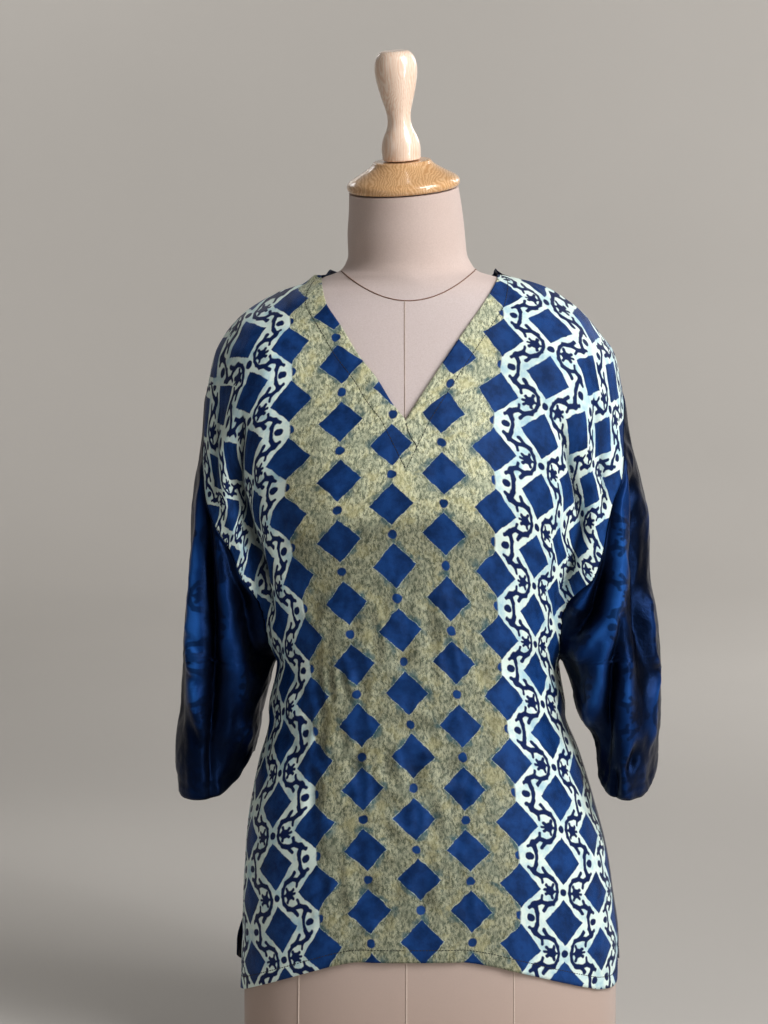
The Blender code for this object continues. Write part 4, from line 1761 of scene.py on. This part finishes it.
# %% Riding and replacing
PIECES = [
    (front, "front_panel", "printed_satin"),
    (back, "back_panel", "navy_satin"),
    (sleeves["sleeve_left"], "sleeve_left", "navy_satin"),
    (sleeves["sleeve_right"], "sleeve_right", "navy_satin"),
    (cover, "dress_form", "form_fabric"),
    (cap, "neck_cap", "cap_wood"),
    (knob, "finial", "finial_wood"),
    (neck_line, None, "form_fabric"),
    (front_line, None, "form_fabric"),
    (down_lines, None, "form_fabric"),
    (front_thread, None, "printed_satin"),
    (lap_edge, None, "printed_satin"),
    (back_thread, None, "navy_satin"),
]
for piece, node, slot in PIECES:
    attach(piece, "root")
    if node:
        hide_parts(node)

# %% [markdown]
# ## Floor, light and camera
#
# The form stands on a pale floor that curves up into a plain wall all round. A large soft key
# comes from the front right and a weaker fill from the left. Four more only even out the wall
# and the floor, and one narrow strip draws the shine on the satin's folds.

# %% The floor and wall
SWEEP = [(0.0, 0.0), (3.4, 0.0), (4.3, 0.06), (4.9, 0.35), (5.25, 0.95), (5.4, 1.8), (5.45, 5.0)]
bpy.ops.object.select_all(action='DESELECT')
bpy.ops.mesh.primitive_circle_add(vertices=96, radius=SWEEP[1][0], fill_type='NGON')
studio = bpy.context.object
studio.name = "studio_sweep"
bpy.ops.object.mode_set(mode='EDIT')
bpy.ops.mesh.select_all(action='DESELECT')
bpy.ops.mesh.select_mode(type='EDGE')
bpy.ops.mesh.select_all(action='SELECT')
bpy.ops.mesh.region_to_loop()
for (low_r, low_z), (high_r, high_z) in zip(SWEEP[1:], SWEEP[2:]):
    bpy.ops.mesh.extrude_edges_move(TRANSFORM_OT_translate={"value": (0, 0, high_z - low_z)})
    ratio = high_r / low_r
    bpy.ops.transform.resize(value=(ratio, ratio, 1), center_override=(0, 0, high_z))
bpy.ops.mesh.select_all(action='SELECT')
bpy.ops.mesh.normals_make_consistent(inside=True)
bpy.ops.object.mode_set(mode='OBJECT')
studio.data.shade_smooth()
material, tree, shader = new_material("matt paper")
at = add(tree, "TexCoord", take="Object")
cloudy = add(tree, "TexNoise", at, into={"Scale": 0.6, "Detail": 3.0})
paper = add(tree, "Mix", into={0: cloudy, 6: linear("#b9b5af"), 7: linear("#c6c1bb")},
            data_type='RGBA', take=2)
tree.links.new(paper, shader.inputs["Base Color"])
shader.inputs["Roughness"].default_value = 0.95
dress(studio, material)


# %% Lights
def softbox(name, place, aim, size, power, colour, spread=180):
    light = bpy.data.lights.new(name, 'AREA')
    light.spread = math.radians(spread)
    light.shape = 'RECTANGLE'
    light.size, light.size_y = size
    light.energy = power
    light.color = linear(colour)[:3]
    lamp = bpy.data.objects.new(name, light)
    lamp.location = place
    lamp.rotation_euler = (Vector(aim) - Vector(place)).to_track_quat('-Z', 'Y').to_euler()
    bpy.context.scene.collection.objects.link(lamp)


softbox("key", (1.75, -1.5, 2.25), (0.0, 0.0, 0.75), (1.5, 1.5), 74, "#ffffff")
softbox("strip", (1.7, -1.5, 0.75), (0.0, 0.0, 0.5), (0.2, 1.5), 16, "#ffffff")
softbox("fill", (-2.2, -2.4, 1.0), (0, 0, 0.5), (1.4, 1.6), 3.4, "#f4f6ff")
softbox("wall", (3.0, 2.6, 2.9), (0.4, 5.3, 1.8), (1.8, 1.8), 97, "#ffffff")
softbox("upper wall", (-1.6, 4.5, 3.3), (-1.2, 5.4, 2.0), (0.8, 0.8), 17, "#ffffff")
softbox("floor left", (-0.9, 1.3, 1.6), (-0.4, 0.3, 0.0), (0.5, 0.5), 0.8, "#ffffff", spread=70)
softbox("floor right", (2.2, 3.0, 2.0), (0.9, 1.8, 0.0), (0.8, 0.8), 4, "#ffffff", spread=90)
world = bpy.data.worlds.new("studio air")
world.use_nodes = True
world.node_tree.nodes["Background"].inputs["Color"].default_value = linear("#dcdad8")
world.node_tree.nodes["Background"].inputs["Strength"].default_value = 0.15
bpy.context.scene.world = world
bpy.context.scene.view_settings.view_transform = 'Standard'

# %% Camera
CAMERA = (-0.01995, -2.2, 0.685)
PITCH_DOWN = 4.0
FOCAL_PIXELS = 2321.5      # focal length in pixels of a picture 1024 high
PICTURE_HEIGHT = 1024
SENSOR = 36.0
lens = bpy.data.cameras.new("camera")
lens.sensor_fit = 'VERTICAL'
lens.sensor_height = SENSOR
lens.sensor_width = SENSOR
lens.lens = FOCAL_PIXELS * SENSOR / PICTURE_HEIGHT
lens.clip_end = 30
camera = bpy.data.objects.new("camera", lens)
camera.location = CAMERA
camera.rotation_euler = (math.radians(90 - PITCH_DOWN), 0, 0)
bpy.context.scene.collection.objects.link(camera)
bpy.context.scene.camera = camera
